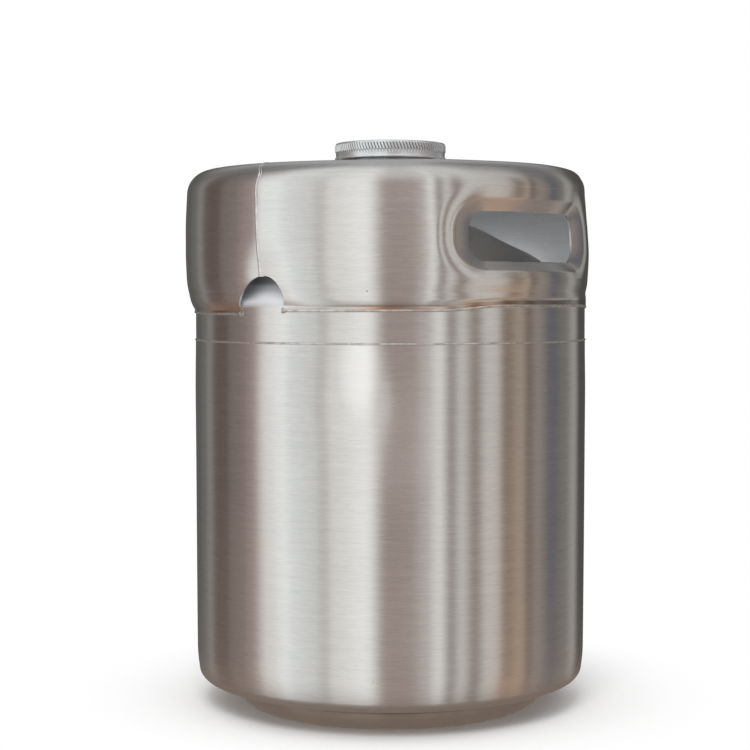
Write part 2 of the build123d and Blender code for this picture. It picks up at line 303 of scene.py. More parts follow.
STRAW = (0.80, 0.52, 0.34)  # the colour that a weld's heat leaves beside it
EDGE_PAINTED_SHADE = (0.34, 0.30, 0.28)  # painted shade, dark grey-brown, above the collar's lower edge
# painted shade on the crown, which lies under the collar
CROWN_PAINTED_SHADE = (0.62, 0.61, 0.60, 1)
PICKLED = (0.74, 0.755, 0.785, 1)
SPECK_BROWN = (0.16, 0.13, 0.11, 1)
CLEAN_WHITE = (1, 1, 1, 1)
BRUSH_ALONG = 170.0  # how fine the brush's streaks are along them and across
BRUSH_ACROSS = 1900.0
BRUSH_TURN = 0.25  # a quarter turn, so that the gloss spreads across the streaks


def brushed_steel(name, colour, roughness, heat=(), mill=None, highlights_and_haze=(), metallic=1.0, anisotropic=0.95):
    """Sheet brushed round the axis. heat lists tinted bands, heat tints and painted shade: low z, high z,
    fade, strength, the heading of the middle and half the length in degrees, and colour. mill is two
    heights: above the first the sheet is unbrushed, pale and dull from pickling, and above the second it
    is darker, a painted shade. rubbed lists painted highlights, hazy patches made brighter towards white
    and duller: heading, z, reach in degrees and in metres, and how much brighter and duller they are."""
    material, tree, shader, position = new_finish(name)
    grain = add_node(
        tree,
        "ShaderNodeGroup",
        {"Position": position, "Along": BRUSH_ALONG, "Across": BRUSH_ACROSS},
        node_tree=bpy.data.node_groups.get("brush grain") or brush_grain_group(),
    )
    streaks, clouds, specks, nicks = grain.outputs
    light = between(tree, streaks, 0.25, 0.75, 0.93, 1.07)
    patchy = between(tree, clouds, 0.3, 0.7, 0.98, 1.02)
    surface = shaded(tree, colour, math_node(tree, "MULTIPLY", light, patchy))
    east, north, height = add_node(tree, "ShaderNodeSeparateXYZ", {0: position}).outputs
    heading = math_node(tree, "ARCTAN2", north, east)
    if mill:
        dark = between(tree, height, mill[1], mill[1] + 6 * MM)
        pale = math_node(tree, "SUBTRACT", between(tree, height, mill[0], mill[0] + 5 * MM), dark)
        surface = tinted(tree, pale, surface, PICKLED)
    for low, high, fade, strength, middle, half_length, tint in heat:
        uneven = math_node(tree, "MULTIPLY", between(tree, clouds, 0.35, 0.6, 0.5, 1.0), strength)
        near = math_node(tree, "MULTIPLY", between(tree, height, high, high + fade, 1.0, 0.0), uneven)
        near = math_node(tree, "MULTIPLY", between(tree, height, low - fade, low), near)
        away = math_node(tree, "ABSOLUTE", math_node(tree, "SUBTRACT", heading, math.radians(middle)))
        reach = math.radians(half_length)
        near = math_node(tree, "MULTIPLY", between(tree, away, reach / 2, reach, 1.0, 0.0), near)
        # a heat tint, or painted shade where the band's colour is a shade
        surface = tinted(tree, near, surface, (*tint, 1), "MULTIPLY")
    dull = math_node(tree, "MULTIPLY_ADD", streaks, 0.10, roughness - 0.07)
    dull = math_node(tree, "MULTIPLY_ADD", nicks, 0.4, dull)
    for middle, middle_z, half_length, reach_z, bright, haze in highlights_and_haze:
        away = math_node(tree, "SUBTRACT", heading, math.radians(middle))
        away = math_node(tree, "DIVIDE", away, math.radians(half_length))
        above = math_node(tree, "DIVIDE", math_node(tree, "SUBTRACT", height, middle_z), reach_z)
        away = math_node(tree, "MULTIPLY_ADD", above, above, math_node(tree, "MULTIPLY", away, away))
        inside = between(tree, away, 0.0, 1.0, 1.0, 0.0)
        # painted highlight: each patch is made brighter towards white, and its haze makes it duller
        surface = tinted(tree, math_node(tree, "MULTIPLY", inside, bright), surface, CLEAN_WHITE)
        dull = math_node(tree, "MULTIPLY_ADD", inside, haze, dull)
    surface = tinted(tree, math_node(tree, "MULTIPLY", specks, 0.6), surface, SPECK_BROWN)
    surface = tinted(tree, math_node(tree, "MULTIPLY", nicks, 0.7), surface, CLEAN_WHITE)
    if mill:
        # painted shade: darker above the second mill height
        surface = tinted(tree, dark, surface, CROWN_PAINTED_SHADE, "MULTIPLY")
        dull = math_node(tree, "MULTIPLY_ADD", math_node(tree, "MAXIMUM", pale, dark), 0.28, dull)
        tree.links.new(math_node(tree, "MULTIPLY_ADD", pale, -0.65, 1.0), shader.inputs["Metallic"])
    tree.links.new(surface, shader.inputs["Base Color"])
    tree.links.new(math_node(tree, "MULTIPLY_ADD", clouds, 0.05, dull), shader.inputs["Roughness"])
    raise_grain(tree, shader, streaks, 0.25, 0.02 * MM)
    tangent = add_node(tree, "ShaderNodeTangent", direction_type="RADIAL", axis="Z")
    tree.links.new(tangent.outputs[0], shader.inputs["Tangent"])
    shader.inputs["Metallic"].default_value = metallic
    shader.inputs["Anisotropic"].default_value = anisotropic
    shader.inputs["Anisotropic Rotation"].default_value = BRUSH_TURN
    return material


STEEL = (0.76, 0.755, 0.745)
STEEL_ROUGHNESS = 0.22
LAP_GAP = 0.02 * MM  # what two lapped sheets are apart
# painted shade, warm and darker, on the foot under the base
FOOT_PAINTED_SHADE = (0.87, 0.84, 0.81)
FOOT_CORNER_PAINTED_SHADOW = (0.42, 0.38, 0.35)  # painted shadow in the corner where the foot meets the base
cup_steel = brushed_steel(
    "brushed steel cup",
    STEEL,
    STEEL_ROUGHNESS,
    heat=[
        (-SHEET, BASE_STEP_Z - 2 * MM, 2 * MM, 1.0, 0, 360, FOOT_PAINTED_SHADE),
        (BASE_STEP_Z - 3.6 * MM, BASE_STEP_Z - 0.5 * MM, 1.4 * MM, 0.9, 0, 360, FOOT_CORNER_PAINTED_SHADOW),
    ],
    # two painted highlights on the cup's wall, hazy and brighter towards white
    highlights_and_haze=[(-53.5, 200 * MM, 7, 32 * MM, 0.55, 0.0), (-42, 162 * MM, 11, 40 * MM, 0.3, 0.06)],
)
inside_steel = brushed_steel("mill finish steel", (0.90, 0.915, 0.93), 0.6, metallic=0.15, anisotropic=0)

cup_profile = rounded_path(
    [
        (CUP_RIM_RADIUS, CUP_RIM_Z),
        (CUP_RIM_RADIUS, CUP_RIM_Z - CUP_LAP),
        (CUP_LOW_RADIUS, 2 * BASE_STEP_Z),
        (BASE_CORNER_RADIUS, BASE_STEP_Z),
        (FOOT_RADIUS + FOOT_TAPER, BASE_STEP_Z),
        (FOOT_RADIUS - FOOT_TAPER, 0),
        (FOOT_INNER_RADIUS, 0),
        DISH_EDGE,
        (DISH_RADIUS, DISH_Z),
        (0, DISH_Z),
    ],
    CUP_ROUNDINGS,
)
cup = spin_profile("keg_cup", cup_profile)
WALL_WAVE = 0.16 * MM  # how far the drawn wall wanders from a true cylinder
WAVES_ROUND = 1.9  # how close its waves are round the wall, and per metre of height
WAVES_UP = 9
CUP_DENTS = [(-49.0, 182, 0.7, 13, 22)]  # heading, then in mm: height, depth, half width, half height
DENT_TAIL = 3  # how much further a dent reaches to its left than to its right


def wander(heading, z):
    """The slight out-of-round of hand-finished sheet, at a heading in radians and a height."""
    spot = Vector((math.cos(heading) * WAVES_ROUND, math.sin(heading) * WAVES_ROUND, z * WAVES_UP))
    return WALL_WAVE * noise.noise(spot)


def dent_depth(heading, z):
    """How deep the cup's wall is dented at a heading in radians and a height."""
    depth = 0
    for dent_heading, dent_z, deepest, half_width, half_height in CUP_DENTS:
        across = (math.degrees(heading) - dent_heading + 180) % 360 - 180
        along = math.radians(across) * CUP_RIM_RADIUS / (half_width * MM * (1 if across > 0 else DENT_TAIL))
        up = (z / MM - dent_z) / half_height
        depth += deepest * MM * math.exp(-along * along - up * up)
    return depth


for vertex in cup.data.vertices:
    if vertex.co.xy.length > FOOT_RADIUS + FOOT_TAPER:
        heading = heading_of(vertex.co)
        hold = smoothstep(BASE_STEP_Z, 3 * BASE_STEP_Z, vertex.co.z)
        hold *= 1 - smoothstep(CUP_RIM_Z - 3 * CUP_LAP, CUP_RIM_Z, vertex.co.z)
        push = wander(heading, vertex.co.z) * hold - dent_depth(heading, vertex.co.z)
        push -= CUP_NECKING * smoothstep(CUP_NECKING_Z, CUP_RIM_Z, vertex.co.z)
        move_out(vertex, push)
thicken(cup, cup_steel, inside_steel)
press_out(cup, CUP_RIM_Z - 2 * CUP_LAP, CUP_RIM_Z + CUP_LAP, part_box("shoulder_dome")[1].x + LAP_GAP)
smooth(cup)
finish_piece(cup, "keg", "lower_shell")

# ---- Shoulder ---------------------------------------------------------------------------------
# The pressed top of the vessel, from the same sheet. Its flange stands inside the cup's rim and is
# stepped out above it. Then a knuckle turns into a shallow, unbrushed crown with a hole for the neck.
FLANGE_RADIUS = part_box("shoulder_dome")[1].x
FLANGE_FOOT_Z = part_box("shoulder_dome")[0].z
FLANGE_TOP_Z = 229 * MM
FLANGE_STEP = 0.7 * MM
KNUCKLE_RADIUS = 16 * MM
CROWN_RADIUS = 152 * MM
CROWN_SINK = 1.6 * MM  # how far the press leaves the crown flatter than a true sphere
CROWN_SINK_MIDDLE = 67 * MM
CROWN_SINK_REACH = 21 * MM
NECK_RADIUS = 28.3 * MM
crown_middle_z = FLANGE_TOP_Z - math.sqrt(
    (CROWN_RADIUS - KNUCKLE_RADIUS) ** 2 - (FLANGE_RADIUS - KNUCKLE_RADIUS) ** 2
)
knuckle_turn = math.atan2(FLANGE_TOP_Z - crown_middle_z, FLANGE_RADIUS - KNUCKLE_RADIUS)
crown_turn = math.acos(NECK_RADIUS / CROWN_RADIUS) - knuckle_turn
KNUCKLE_STEPS = 9
CROWN_STEPS = 26
shoulder_profile = rounded_path(
    [(FLANGE_RADIUS, FLANGE_FOOT_Z), (FLANGE_RADIUS, FLANGE_TOP_Z)], [], longest=1 * MM
)
for i in range(1, KNUCKLE_STEPS + 1):
    turn = knuckle_turn * i / KNUCKLE_STEPS
    arm = Vector((math.cos(turn), math.sin(turn))) * KNUCKLE_RADIUS
    shoulder_profile.append(Vector((FLANGE_RADIUS - KNUCKLE_RADIUS, FLANGE_TOP_Z)) + arm)
for i in range(1, CROWN_STEPS + 1):
    turn = knuckle_turn + crown_turn * i / CROWN_STEPS
    arm = Vector((math.cos(turn), math.sin(turn))) * CROWN_RADIUS
    shoulder_profile.append(Vector((0, crown_middle_z)) + arm)
for point in shoulder_profile:
    inward = min(1, abs(point.x - CROWN_SINK_MIDDLE) / CROWN_SINK_REACH)
    point.y -= CROWN_SINK * math.cos(inward * math.pi / 2) ** 2
    stepped = smoothstep(CUP_RIM_Z - 2 * MM, CUP_RIM_Z + 1 * MM, point.y)
    point.x += FLANGE_STEP * stepped * smoothstep(FLANGE_RADIUS - KNUCKLE_RADIUS, FLANGE_RADIUS, point.x)
shoulder = spin_profile("keg_shoulder", shoulder_profile)
# above the first height the knuckle is pickled, and above the second the crown gets painted shade
KNUCKLE_FINISH_AND_CROWN_SHADE = (FLANGE_TOP_Z + 1 * MM, FLANGE_TOP_Z + 20 * MM)
NOTCH_PAINTED_SHADOW = (0.30, 0.29, 0.29)  # painted shadow of the collar's edge on the shoulder, behind the top and the left side of the drain notch
shoulder_painted_shadow = [
    (FLANGE_TOP_Z + 16 * MM, FLANGE_TOP_Z + 21 * MM, 3 * MM, 0.8, -84, 26, NOTCH_PAINTED_SHADOW),
    (FLANGE_TOP_Z + 8 * MM, FLANGE_TOP_Z + 21 * MM, 4 * MM, 0.85, -101, 19, NOTCH_PAINTED_SHADOW),
]
# painted shade darkens the crown, and painted shadow lies behind the drain notch
shoulder_steel = brushed_steel(
    "brushed steel shoulder", STEEL, STEEL_ROUGHNESS, shoulder_painted_shadow, KNUCKLE_FINISH_AND_CROWN_SHADE
)
thicken(shoulder, shoulder_steel, inside_steel)
smooth(shoulder)
finish_piece(shoulder, "keg", "shoulder_dome")

# ---- Carrying collar --------------------------------------------------------------------------
# A strip of the same sheet rolled into a ring. Its foot is tucked in and welded to the flange, its
# rim is rolled over for the hands, and two hand holes are pressed inwards as wide funnels.
COLLAR_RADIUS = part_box("top_collar")[1].x
COLLAR_FOOT_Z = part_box("top_collar")[0].z
RIM_TOP_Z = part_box("top_collar")[1].z
COLLAR_LIP_RADIUS = FLANGE_RADIUS + SHEET
COLLAR_LIP_TOP_Z = 230.2 * MM
COLLAR_TUCK_Z = 238.7 * MM
COLLAR_LIP_ROUNDING = 3 * MM
COLLAR_TUCK_ROUNDING = 28 * MM
RIM_ROLL_RADIUS = 13.2 * MM
RIM_LIP = 3 * MM
roll_middle_z = RIM_TOP_Z - RIM_ROLL_RADIUS
WINDOW_LOW_Z = 246.9 * MM  # the rows and columns that each hand hole is pressed in
WINDOW_HIGH_Z = 296 * MM
WINDOW_ROWS = 20
WINDOW_COLUMNS = 60
CELL_SLACK = 0.1  # how far off its row or column, as a share of one, a vertex may be
column_turn = math.tau / ROUND_STEPS
row_height = (WINDOW_HIGH_Z - WINDOW_LOW_Z) / WINDOW_ROWS
collar_profile = rounded_path(
    [
        (COLLAR_LIP_RADIUS, COLLAR_FOOT_Z),
        (COLLAR_LIP_RADIUS, COLLAR_LIP_TOP_Z),
        (COLLAR_RADIUS, COLLAR_TUCK_Z),
        (COLLAR_RADIUS, WINDOW_LOW_Z),
        (COLLAR_RADIUS, WINDOW_HIGH_Z),
        (COLLAR_RADIUS, RIM_TOP_Z),
        (COLLAR_RADIUS - 2 * RIM_ROLL_RADIUS, RIM_TOP_Z),
        (COLLAR_RADIUS - 2 * RIM_ROLL_RADIUS, roll_middle_z - RIM_LIP),
    ],
    [COLLAR_LIP_ROUNDING, COLLAR_TUCK_ROUNDING, 0, 0, RIM_ROLL_RADIUS, RIM_ROLL_RADIUS],
    longest=row_height,
    arc_step=math.radians(7),
    fine_z=WINDOW_LOW_Z + 1 * MM,
)
collar = spin_profile("carrying_collar", collar_profile)


def profile_radius(z):
    """The collar's outer radius at a height below its rolled rim."""
    for low, high in zip(collar_profile, collar_profile[1:]):
        if low.y <= z <= high.y:
            return low.x + (high.x - low.x) * (z - low.y) / max(high.y - low.y, MERGE_DISTANCE)
    return COLLAR_LIP_RADIUS if z < COLLAR_LIP_TOP_Z else COLLAR_RADIUS


def cut_window(piece, inside, on_edge, station_of):
    """Deletes the faces inside a window, and selects its edge with each vertex numbered by station_of."""
    bpy.context.view_layer.objects.active = piece
    bpy.ops.object.mode_set(mode="EDIT")
    bpy.ops.mesh.select_mode(type="FACE")
    bpy.ops.mesh.select_all(action="DESELECT")
    form = bmesh.from_edit_mesh(piece.data)
    for face in form.faces:
        face.select_set(inside(face.calc_center_median()))
    bmesh.update_edit_mesh(piece.data)
    bpy.ops.mesh.delete(type="FACE")
    bpy.ops.mesh.select_mode(type="EDGE")
    bpy.ops.mesh.select_all(action="DESELECT")
    form = bmesh.from_edit_mesh(piece.data)
    station = form.verts.layers.int.get("station") or form.verts.layers.int.new("station")
    for edge in form.edges:
        if edge.is_boundary and all(on_edge(vertex.co) for vertex in edge.verts):
            edge.select_set(True)
            for vertex in edge.verts:
                vertex[station] = station_of(vertex.co)
    bmesh.update_edit_mesh(piece.data)


def draw_rings(piece, rings, place):
    """Extrudes the selected edge once for each ring, to where place(station, ring) puts its vertices."""
    for ring in rings:
        bpy.ops.mesh.extrude_region_move()
        form = bmesh.from_edit_mesh(piece.data)
        station = form.verts.layers.int["station"]
        for vertex in form.verts:
            if vertex.select:
                vertex.co = place(vertex[station], ring)
        bmesh.update_edit_mesh(piece.data)
    bpy.ops.object.mode_set(mode="OBJECT")


# Each hand hole is a round-cornered slot, measured round the wall. Its funnel's mouth is wider than the
# slot by these amounts. The slot's edge is numbered in stations clockwise from the top middle.
HOLE_HALF_LENGTH = 49.2 * MM
HOLE_HALF_HEIGHT = 13.4 * MM
HOLE_CORNER = 11.1 * MM
HOLE_Z = 269.3 * MM
FUNNEL_SIDE = 12.6 * MM
FUNNEL_TOP = 8 * MM
FUNNEL_BOTTOM = 6 * MM
FUNNEL_DEPTH = 6 * MM
FUNNEL_BEND = 0.2  # the share of the funnel that bends before its slope is straight
MOUTH_REACH = 9 * MM  # the wall bends in towards the mouth from this far off
MOUTH_ROUNDING = 41 * MM
HOLE_LIP = 1 * MM
STRAIGHT_STATIONS = 16  # from the middle of the slot's top to where its corner starts
CORNER_STATIONS = 22
quarter_stations = (WINDOW_COLUMNS + WINDOW_ROWS) // 2
SIDE_STATIONS = quarter_stations - STRAIGHT_STATIONS - CORNER_STATIONS
all_stations = 4 * quarter_stations


def hole_spot(station, spread):
    """Round the wall and up from the hole's middle, at a station; spread 1 is the mouth, 0 the slot."""
    half = min(station, all_stations - station)
    quarter = min(half, 2 * quarter_stations - half)
    turn = min(1, max(0, quarter - STRAIGHT_STATIONS) / CORNER_STATIONS) * math.pi / 2
    along = min(1, quarter / STRAIGHT_STATIONS)
    down = max(0, quarter - STRAIGHT_STATIONS - CORNER_STATIONS) / SIDE_STATIONS
    above = half <= quarter_stations
    tall = HOLE_CORNER + spread * (FUNNEL_TOP if above else FUNNEL_BOTTOM)
    across = (HOLE_HALF_LENGTH - HOLE_CORNER) * along + (HOLE_CORNER + spread * FUNNEL_SIDE) * math.sin(turn)
    up = (HOLE_HALF_HEIGHT - HOLE_CORNER) * (1 - down) + tall * math.cos(turn)
    return Vector((across if 2 * station <= all_stations else -across, up if above else -up))


def window_station(column, row):
    """The station of a vertex on the window's edge, from its column and row."""
    half_columns = WINDOW_COLUMNS // 2
    if row == WINDOW_ROWS:
        return column % all_stations
    if column == half_columns:
        return half_columns + WINDOW_ROWS - row
    if row == 0:
        return 2 * half_columns + WINDOW_ROWS - column
    return 3 * half_columns + WINDOW_ROWS + row


def window_spot(station):
    """The reverse: round the wall and up from the hole's middle, for a station on the window's edge."""
    for column in range(-WINDOW_COLUMNS // 2, WINDOW_COLUMNS // 2 + 1):
        for row in range(WINDOW_ROWS + 1):
            edge = abs(column) == WINDOW_COLUMNS // 2 or row in (0, WINDOW_ROWS)
            if edge and window_station(column, row) == station:
                across = COLLAR_RADIUS * column * column_turn
                return Vector((across, WINDOW_LOW_Z + row * row_height - HOLE_Z))


LEAD_IN_RINGS = 30
FUNNEL_RINGS = 12
LIP_RINGS = 2
window_spots = [window_spot(station) for station in range(all_stations)]
press_rings = [("lead in", (i + 1) / LEAD_IN_RINGS) for i in range(LEAD_IN_RINGS)]
press_rings += [("funnel", (i + 1) / FUNNEL_RINGS) for i in range(FUNNEL_RINGS)]
press_rings += [("lip", (i + 1) / LIP_RINGS) for i in range(LIP_RINGS)]
for way in (1, -1):

    def hole_place(station, ring):
        """Where a vertex of the pressed edge stands, for a hole that faces +X (way 1) or -X (way -1)."""
        stage, share = ring
        spot = hole_spot(station, 0)
        depth = FUNNEL_DEPTH + HOLE_LIP * share
        mouth_depth = MOUTH_REACH**2 / (2 * MOUTH_ROUNDING)
        if stage == "lead in":
            spot = window_spots[station].lerp(hole_spot(station, 1), share)
            near = max(0, MOUTH_REACH - (spot - hole_spot(station, 1)).length)
            depth = near * near / (2 * MOUTH_ROUNDING)
        elif stage == "funnel":
            spot = hole_spot(station, 1 - share)
            bent = share * share / (2 * FUNNEL_BEND) if share < FUNNEL_BEND else share - FUNNEL_BEND / 2
            depth = mouth_depth + (FUNNEL_DEPTH - mouth_depth) * bent / (1 - FUNNEL_BEND / 2)
        turn = spot.x / COLLAR_RADIUS
        out = way * (COLLAR_RADIUS - depth)
        return (out * math.cos(turn), out * math.sin(turn), HOLE_Z + spot.y)

    def window_cell(spot):
        """Columns from the hole's middle and rows from the window's foot, with fractions."""
        column = math.atan2(way * spot.y, way * spot.x) / column_turn
        return column, (spot.z - WINDOW_LOW_Z) / row_height

    def on_wall(spot):
        return spot.xy.length > COLLAR_RADIUS - 1 * MM

    def inside_window(spot):
        column, row = window_cell(spot)
        return abs(column) < WINDOW_COLUMNS / 2 and 0 < row < WINDOW_ROWS and on_wall(spot)

    def on_window(spot):
        column, row = window_cell(spot)
        across = abs(column) < WINDOW_COLUMNS / 2 + CELL_SLACK
        return across and -CELL_SLACK < row < WINDOW_ROWS + CELL_SLACK and on_wall(spot)

    def hole_station(spot):
        column, row = window_cell(spot)
        return window_station(round(column), round(row))

    cut_window(collar, inside_window, on_window, hole_station)
    draw_rings(collar, press_rings, hole_place)

# The drain notch is cut by hand through the foot, under the seam: its left side is a long slope and its
# right side is steep. Its edge is numbered from its left foot. Places on it are measured from the seam.
SEAM_HEADING = math.radians(-81.6)
NOTCH_TOP = Vector((2.6, 248.1)) * MM
NOTCH_LEFT_REACH = 21.4 * MM
NOTCH_LEFT_FALL = 14.9 * MM
NOTCH_RIGHT_REACH = 12.2 * MM
NOTCH_RIGHT_FALL = 13 * MM
NOTCH_FOOT_IN = 2.2 * MM  # how far the right side turns in below its widest place
NOTCH_LINE_STEPS = 30
NOTCH_HALF_COLUMNS = 10
NOTCH_ROWS = 2  # rows of the straight wall above the window's foot that the arch's rings take
NOTCH_RINGS = 6
notch_middle = round(SEAM_HEADING / column_turn)
notch_top_z = WINDOW_LOW_Z + NOTCH_ROWS * row_height
side_rows = [point.y for point in collar_profile if point.y < notch_top_z + MERGE_DISTANCE]
side_rows = [z for i, z in enumerate(side_rows) if z not in side_rows[:i]]
notch_stations = 2 * (len(side_rows) - 1) + 2 * NOTCH_HALF_COLUMNS
arch_line = [Vector((NOTCH_TOP.x - NOTCH_LEFT_REACH, COLLAR_FOOT_Z))]
for i in range(NOTCH_LINE_STEPS):
    away = 1 - i / NOTCH_LINE_STEPS
    arch_line.append(NOTCH_TOP - Vector((NOTCH_LEFT_REACH * away, NOTCH_LEFT_FALL * away**2)))
for i in range(NOTCH_LINE_STEPS + 1):
    turn = math.pi / 2 * i / NOTCH_LINE_STEPS
    fall = NOTCH_RIGHT_FALL * (1 - math.cos(turn))
    arch_line.append(NOTCH_TOP + Vector((NOTCH_RIGHT_REACH * math.sin(turn), -fall)))
arch_line.append(Vector((NOTCH_TOP.x + NOTCH_RIGHT_REACH - NOTCH_FOOT_IN, COLLAR_FOOT_Z)))
arch_length = sum((end - start).length for start, end in zip(arch_line, arch_line[1:]))


def notch_cell(spot):
    """Columns from the notch's middle, with fractions."""
    turn = (heading_of(spot) - notch_middle * column_turn) / column_turn
    return (turn + ROUND_STEPS / 2) % ROUND_STEPS - ROUND_STEPS / 2


def outside_roll(spot):
    return spot.xy.length > COLLAR_LIP_RADIUS - 1 * MM


def inside_notch(spot):
    return abs(notch_cell(spot)) < NOTCH_HALF_COLUMNS and spot.z < notch_top_z and outside_roll(spot)


def on_notch(spot):
    past_side = abs(notch_cell(spot)) - NOTCH_HALF_COLUMNS
    on_side = abs(past_side) < CELL_SLACK and spot.z < notch_top_z + row_height / 2
    on_top = past_side < CELL_SLACK and abs(spot.z - notch_top_z) < row_height / 4
    return (on_side or on_top) and outside_roll(spot)


def notch_station(spot):
    column = round(notch_cell(spot))
    row = min(range(len(side_rows)), key=lambda i: abs(side_rows[i] - spot.z))
    if column == -NOTCH_HALF_COLUMNS:
        return row
    if column == NOTCH_HALF_COLUMNS:
        return notch_stations - row
    return len(side_rows) - 1 + column + NOTCH_HALF_COLUMNS


def notch_edge_spot(station):
    """Round from the seam and up, for a station on the edge of the cleared patch."""
    last = len(side_rows) - 1
    row = min(station, notch_stations - station, last)
    column = min(max(station - last, 0), 2 * NOTCH_HALF_COLUMNS) - NOTCH_HALF_COLUMNS
    shift = notch_middle * column_turn - SEAM_HEADING
    return Vector((COLLAR_RADIUS * (column * column_turn + shift), side_rows[row]))


def arch_spot(station):
    """Round from the seam and up, for a station on the arch itself."""
    left = arch_length * station / notch_stations
    for start, end in zip(arch_line, arch_line[1:]):
        run = (end - start).length
        if left <= run:
            return start.lerp(end, left / run)
        left -= run
    return arch_line[-1]


def notch_place(station, ring):
    spot = notch_edge_spot(station).lerp(arch_spot(station), ring)
    radius = profile_radius(spot.y)
    heading = SEAM_HEADING + spot.x / COLLAR_RADIUS
    return (radius * math.cos(heading), radius * math.sin(heading), spot.y)


cut_window(collar, inside_notch, on_notch, notch_station)
draw_rings(collar, [(i + 1) / NOTCH_RINGS for i in range(NOTCH_RINGS)], notch_place)

# Pressing the holes pulls the wall in round them, the rim leans in a little all round, the strip's lower
# edge was sheared unevenly, the seam stands up in a slight peak, and the wall is dented at the notch.
PULL = [(228, 0.3), (233, 2.2), (240, 3.6), (260, 3.5), (288, 4.9), (296, 5.2), (303, 4.5), (309.4, 3.2)]
PULL_FRONT = (-39, -8)  # headings, in degrees from each hole's middle, between which the pull grows,
PULL_BACK = (48, 72)  # dies away,
PULL_ENDS = (4, 24)  # and grows from half to whole on both sides of the middle
RIM_LEAN = 1.0 * MM
RIM_LEAN_Z = (275 * MM, 303 * MM)
FOOT_LEAN = 0.8 * MM
FOOT_LEAN_Z = (232 * MM, 240 * MM)
FOOT_LEAN_END_Z = (238 * MM, 262 * MM)
FOOT_EDGE_TOP_Z = 240 * MM  # above this the wall takes no notice of its uneven lower edge
FOOT_EDGE = [
    (-180, 0.6),
    (-103, -1.2),
    (-92, -1.1),
    (-76, 0.8),
    (-32, 1.0),
    (-13, 3.5),
    (20, 3.3),
    (60, 1.0),
    (120, 0.0),
    (180, 0.6),
]
WAVE_APART = 1.0  # so that the collar's waves are other ones than the cup's
SEAM_PEAK = 0.55 * MM
SEAM_PEAK_REACH = 7 * MM
NOTCH_DIP = 0.95 * MM  # how far cutting the notch has pressed the wall in at its top left
NOTCH_DIP_TOP_Z = 273 * MM
NOTCH_DIP_REACH = 13 * MM
NOTCH_DIP_RIGHT_REACH = 3 * NOTCH_DIP_REACH
RIM_RISE = 0.6 * MM  # how much higher the rim stands over the right hand hole
RIM_RISE_TURN = (30, 55)  # degrees from the hole's middle, between which it dies away


def pull_round(spot):
    """How much of the pull there is at a place round the collar: most at the ends of the hand holes."""
    turn = math.degrees(math.atan2(spot.y, abs(spot.x)))
    front = smoothstep(*PULL_FRONT, turn)
    back = 1 - smoothstep(*PULL_BACK, turn)
    middle = 0.5 + 0.5 * smoothstep(*PULL_ENDS, abs(turn))
    return front * back * middle


def seam_offset(spot):
    """Distance round the collar from the seam, in metres."""
    turn = (heading_of(spot) - SEAM_HEADING + math.pi) % math.tau - math.pi
    return turn * COLLAR_RADIUS


def collar_shift(spot):
    """How far out a point of the collar's wall stands from the plain ring."""
    shift = wander(heading_of(spot), spot.z + WAVE_APART)
    shift -= along_steps(PULL, spot.z / MM) * MM * pull_round(spot)
    shift -= RIM_LEAN * smoothstep(*RIM_LEAN_Z, spot.z)
    shift -= FOOT_LEAN * smoothstep(*FOOT_LEAN_Z, spot.z) * (1 - smoothstep(*FOOT_LEAN_END_Z, spot.z))
    offset = seam_offset(spot)
    low = 1 - smoothstep(NOTCH_TOP.y, NOTCH_DIP_TOP_Z, spot.z)
    if offset < 0:
        shift -= NOTCH_DIP * low * math.exp(offset / NOTCH_DIP_REACH)
    else:
        shift -= NOTCH_DIP * low * (1 - smoothstep(0, NOTCH_DIP_RIGHT_REACH, offset))
    return shift + SEAM_PEAK * (1 - low) * math.exp(-abs(offset) / SEAM_PEAK_REACH)


def foot_rise(spot):
    """How far the collar's lower edge stands above its lowest plain height, in metres."""
    return along_steps(FOOT_EDGE, math.degrees(heading_of(spot))) * MM


def shape_collar(piece):
    """Gives a piece of the collar the shape that pressing and welding leave it with."""
    for vertex in piece.data.vertices:
        hold = smoothstep(COLLAR_FOOT_Z, COLLAR_FOOT_Z + 2 * MM, vertex.co.z)
        push = collar_shift(vertex.co) * hold
        vertex.co.z += foot_rise(vertex.co) * (1 - smoothstep(COLLAR_FOOT_Z, FOOT_EDGE_TOP_Z, vertex.co.z))
        turn = abs(math.degrees(heading_of(vertex.co)))
        rise = RIM_RISE * (1 - smoothstep(*RIM_RISE_TURN, turn))
        vertex.co.z += rise * smoothstep(WINDOW_HIGH_Z, RIM_TOP_Z, vertex.co.z)
        move_out(vertex, push)


shape_collar(collar)
flange_side = FLANGE_RADIUS + FLANGE_STEP
foot_band = (COLLAR_FOOT_Z - 2 * MM, COLLAR_FOOT_Z + 8 * MM)
press_out(collar, *foot_band, flange_side + SHEET / 2)
EDGE_HEAT_AND_SHADE = [  # heat tint all round, then stronger in front, painted shade above the edge under the right hand hole, and heat tint beside the notch
    (COLLAR_FOOT_Z - 2 * MM, COLLAR_FOOT_Z + 2 * MM, 0.5 * MM, 0.3, 0, 360, STRAW),
    (COLLAR_FOOT_Z, COLLAR_FOOT_Z + 3.2 * MM, 0.6 * MM, 0.85, -36, 26, STRAW),
    (COLLAR_FOOT_Z + 2 * MM, COLLAR_FOOT_Z + 5 * MM, 0.6 * MM, 0.7, -18, 11, STRAW),
    (COLLAR_FOOT_Z + 3.4 * MM, COLLAR_FOOT_Z + 5.8 * MM, 0.4 * MM, 0.85, 16, 42, EDGE_PAINTED_SHADE),
    (COLLAR_FOOT_Z - 2 * MM, COLLAR_FOOT_Z + 3 * MM, 4 * MM, 0.6, -99, 14, STRAW),
]
collar_steel = brushed_steel("brushed steel collar", STEEL, STEEL_ROUGHNESS, heat=EDGE_HEAT_AND_SHADE)
thicken(collar, collar_steel, inside_steel)
press_out(collar, *foot_band, flange_side + LAP_GAP)
smooth(collar, 50)
finish_piece(collar, "keg", "top_collar")

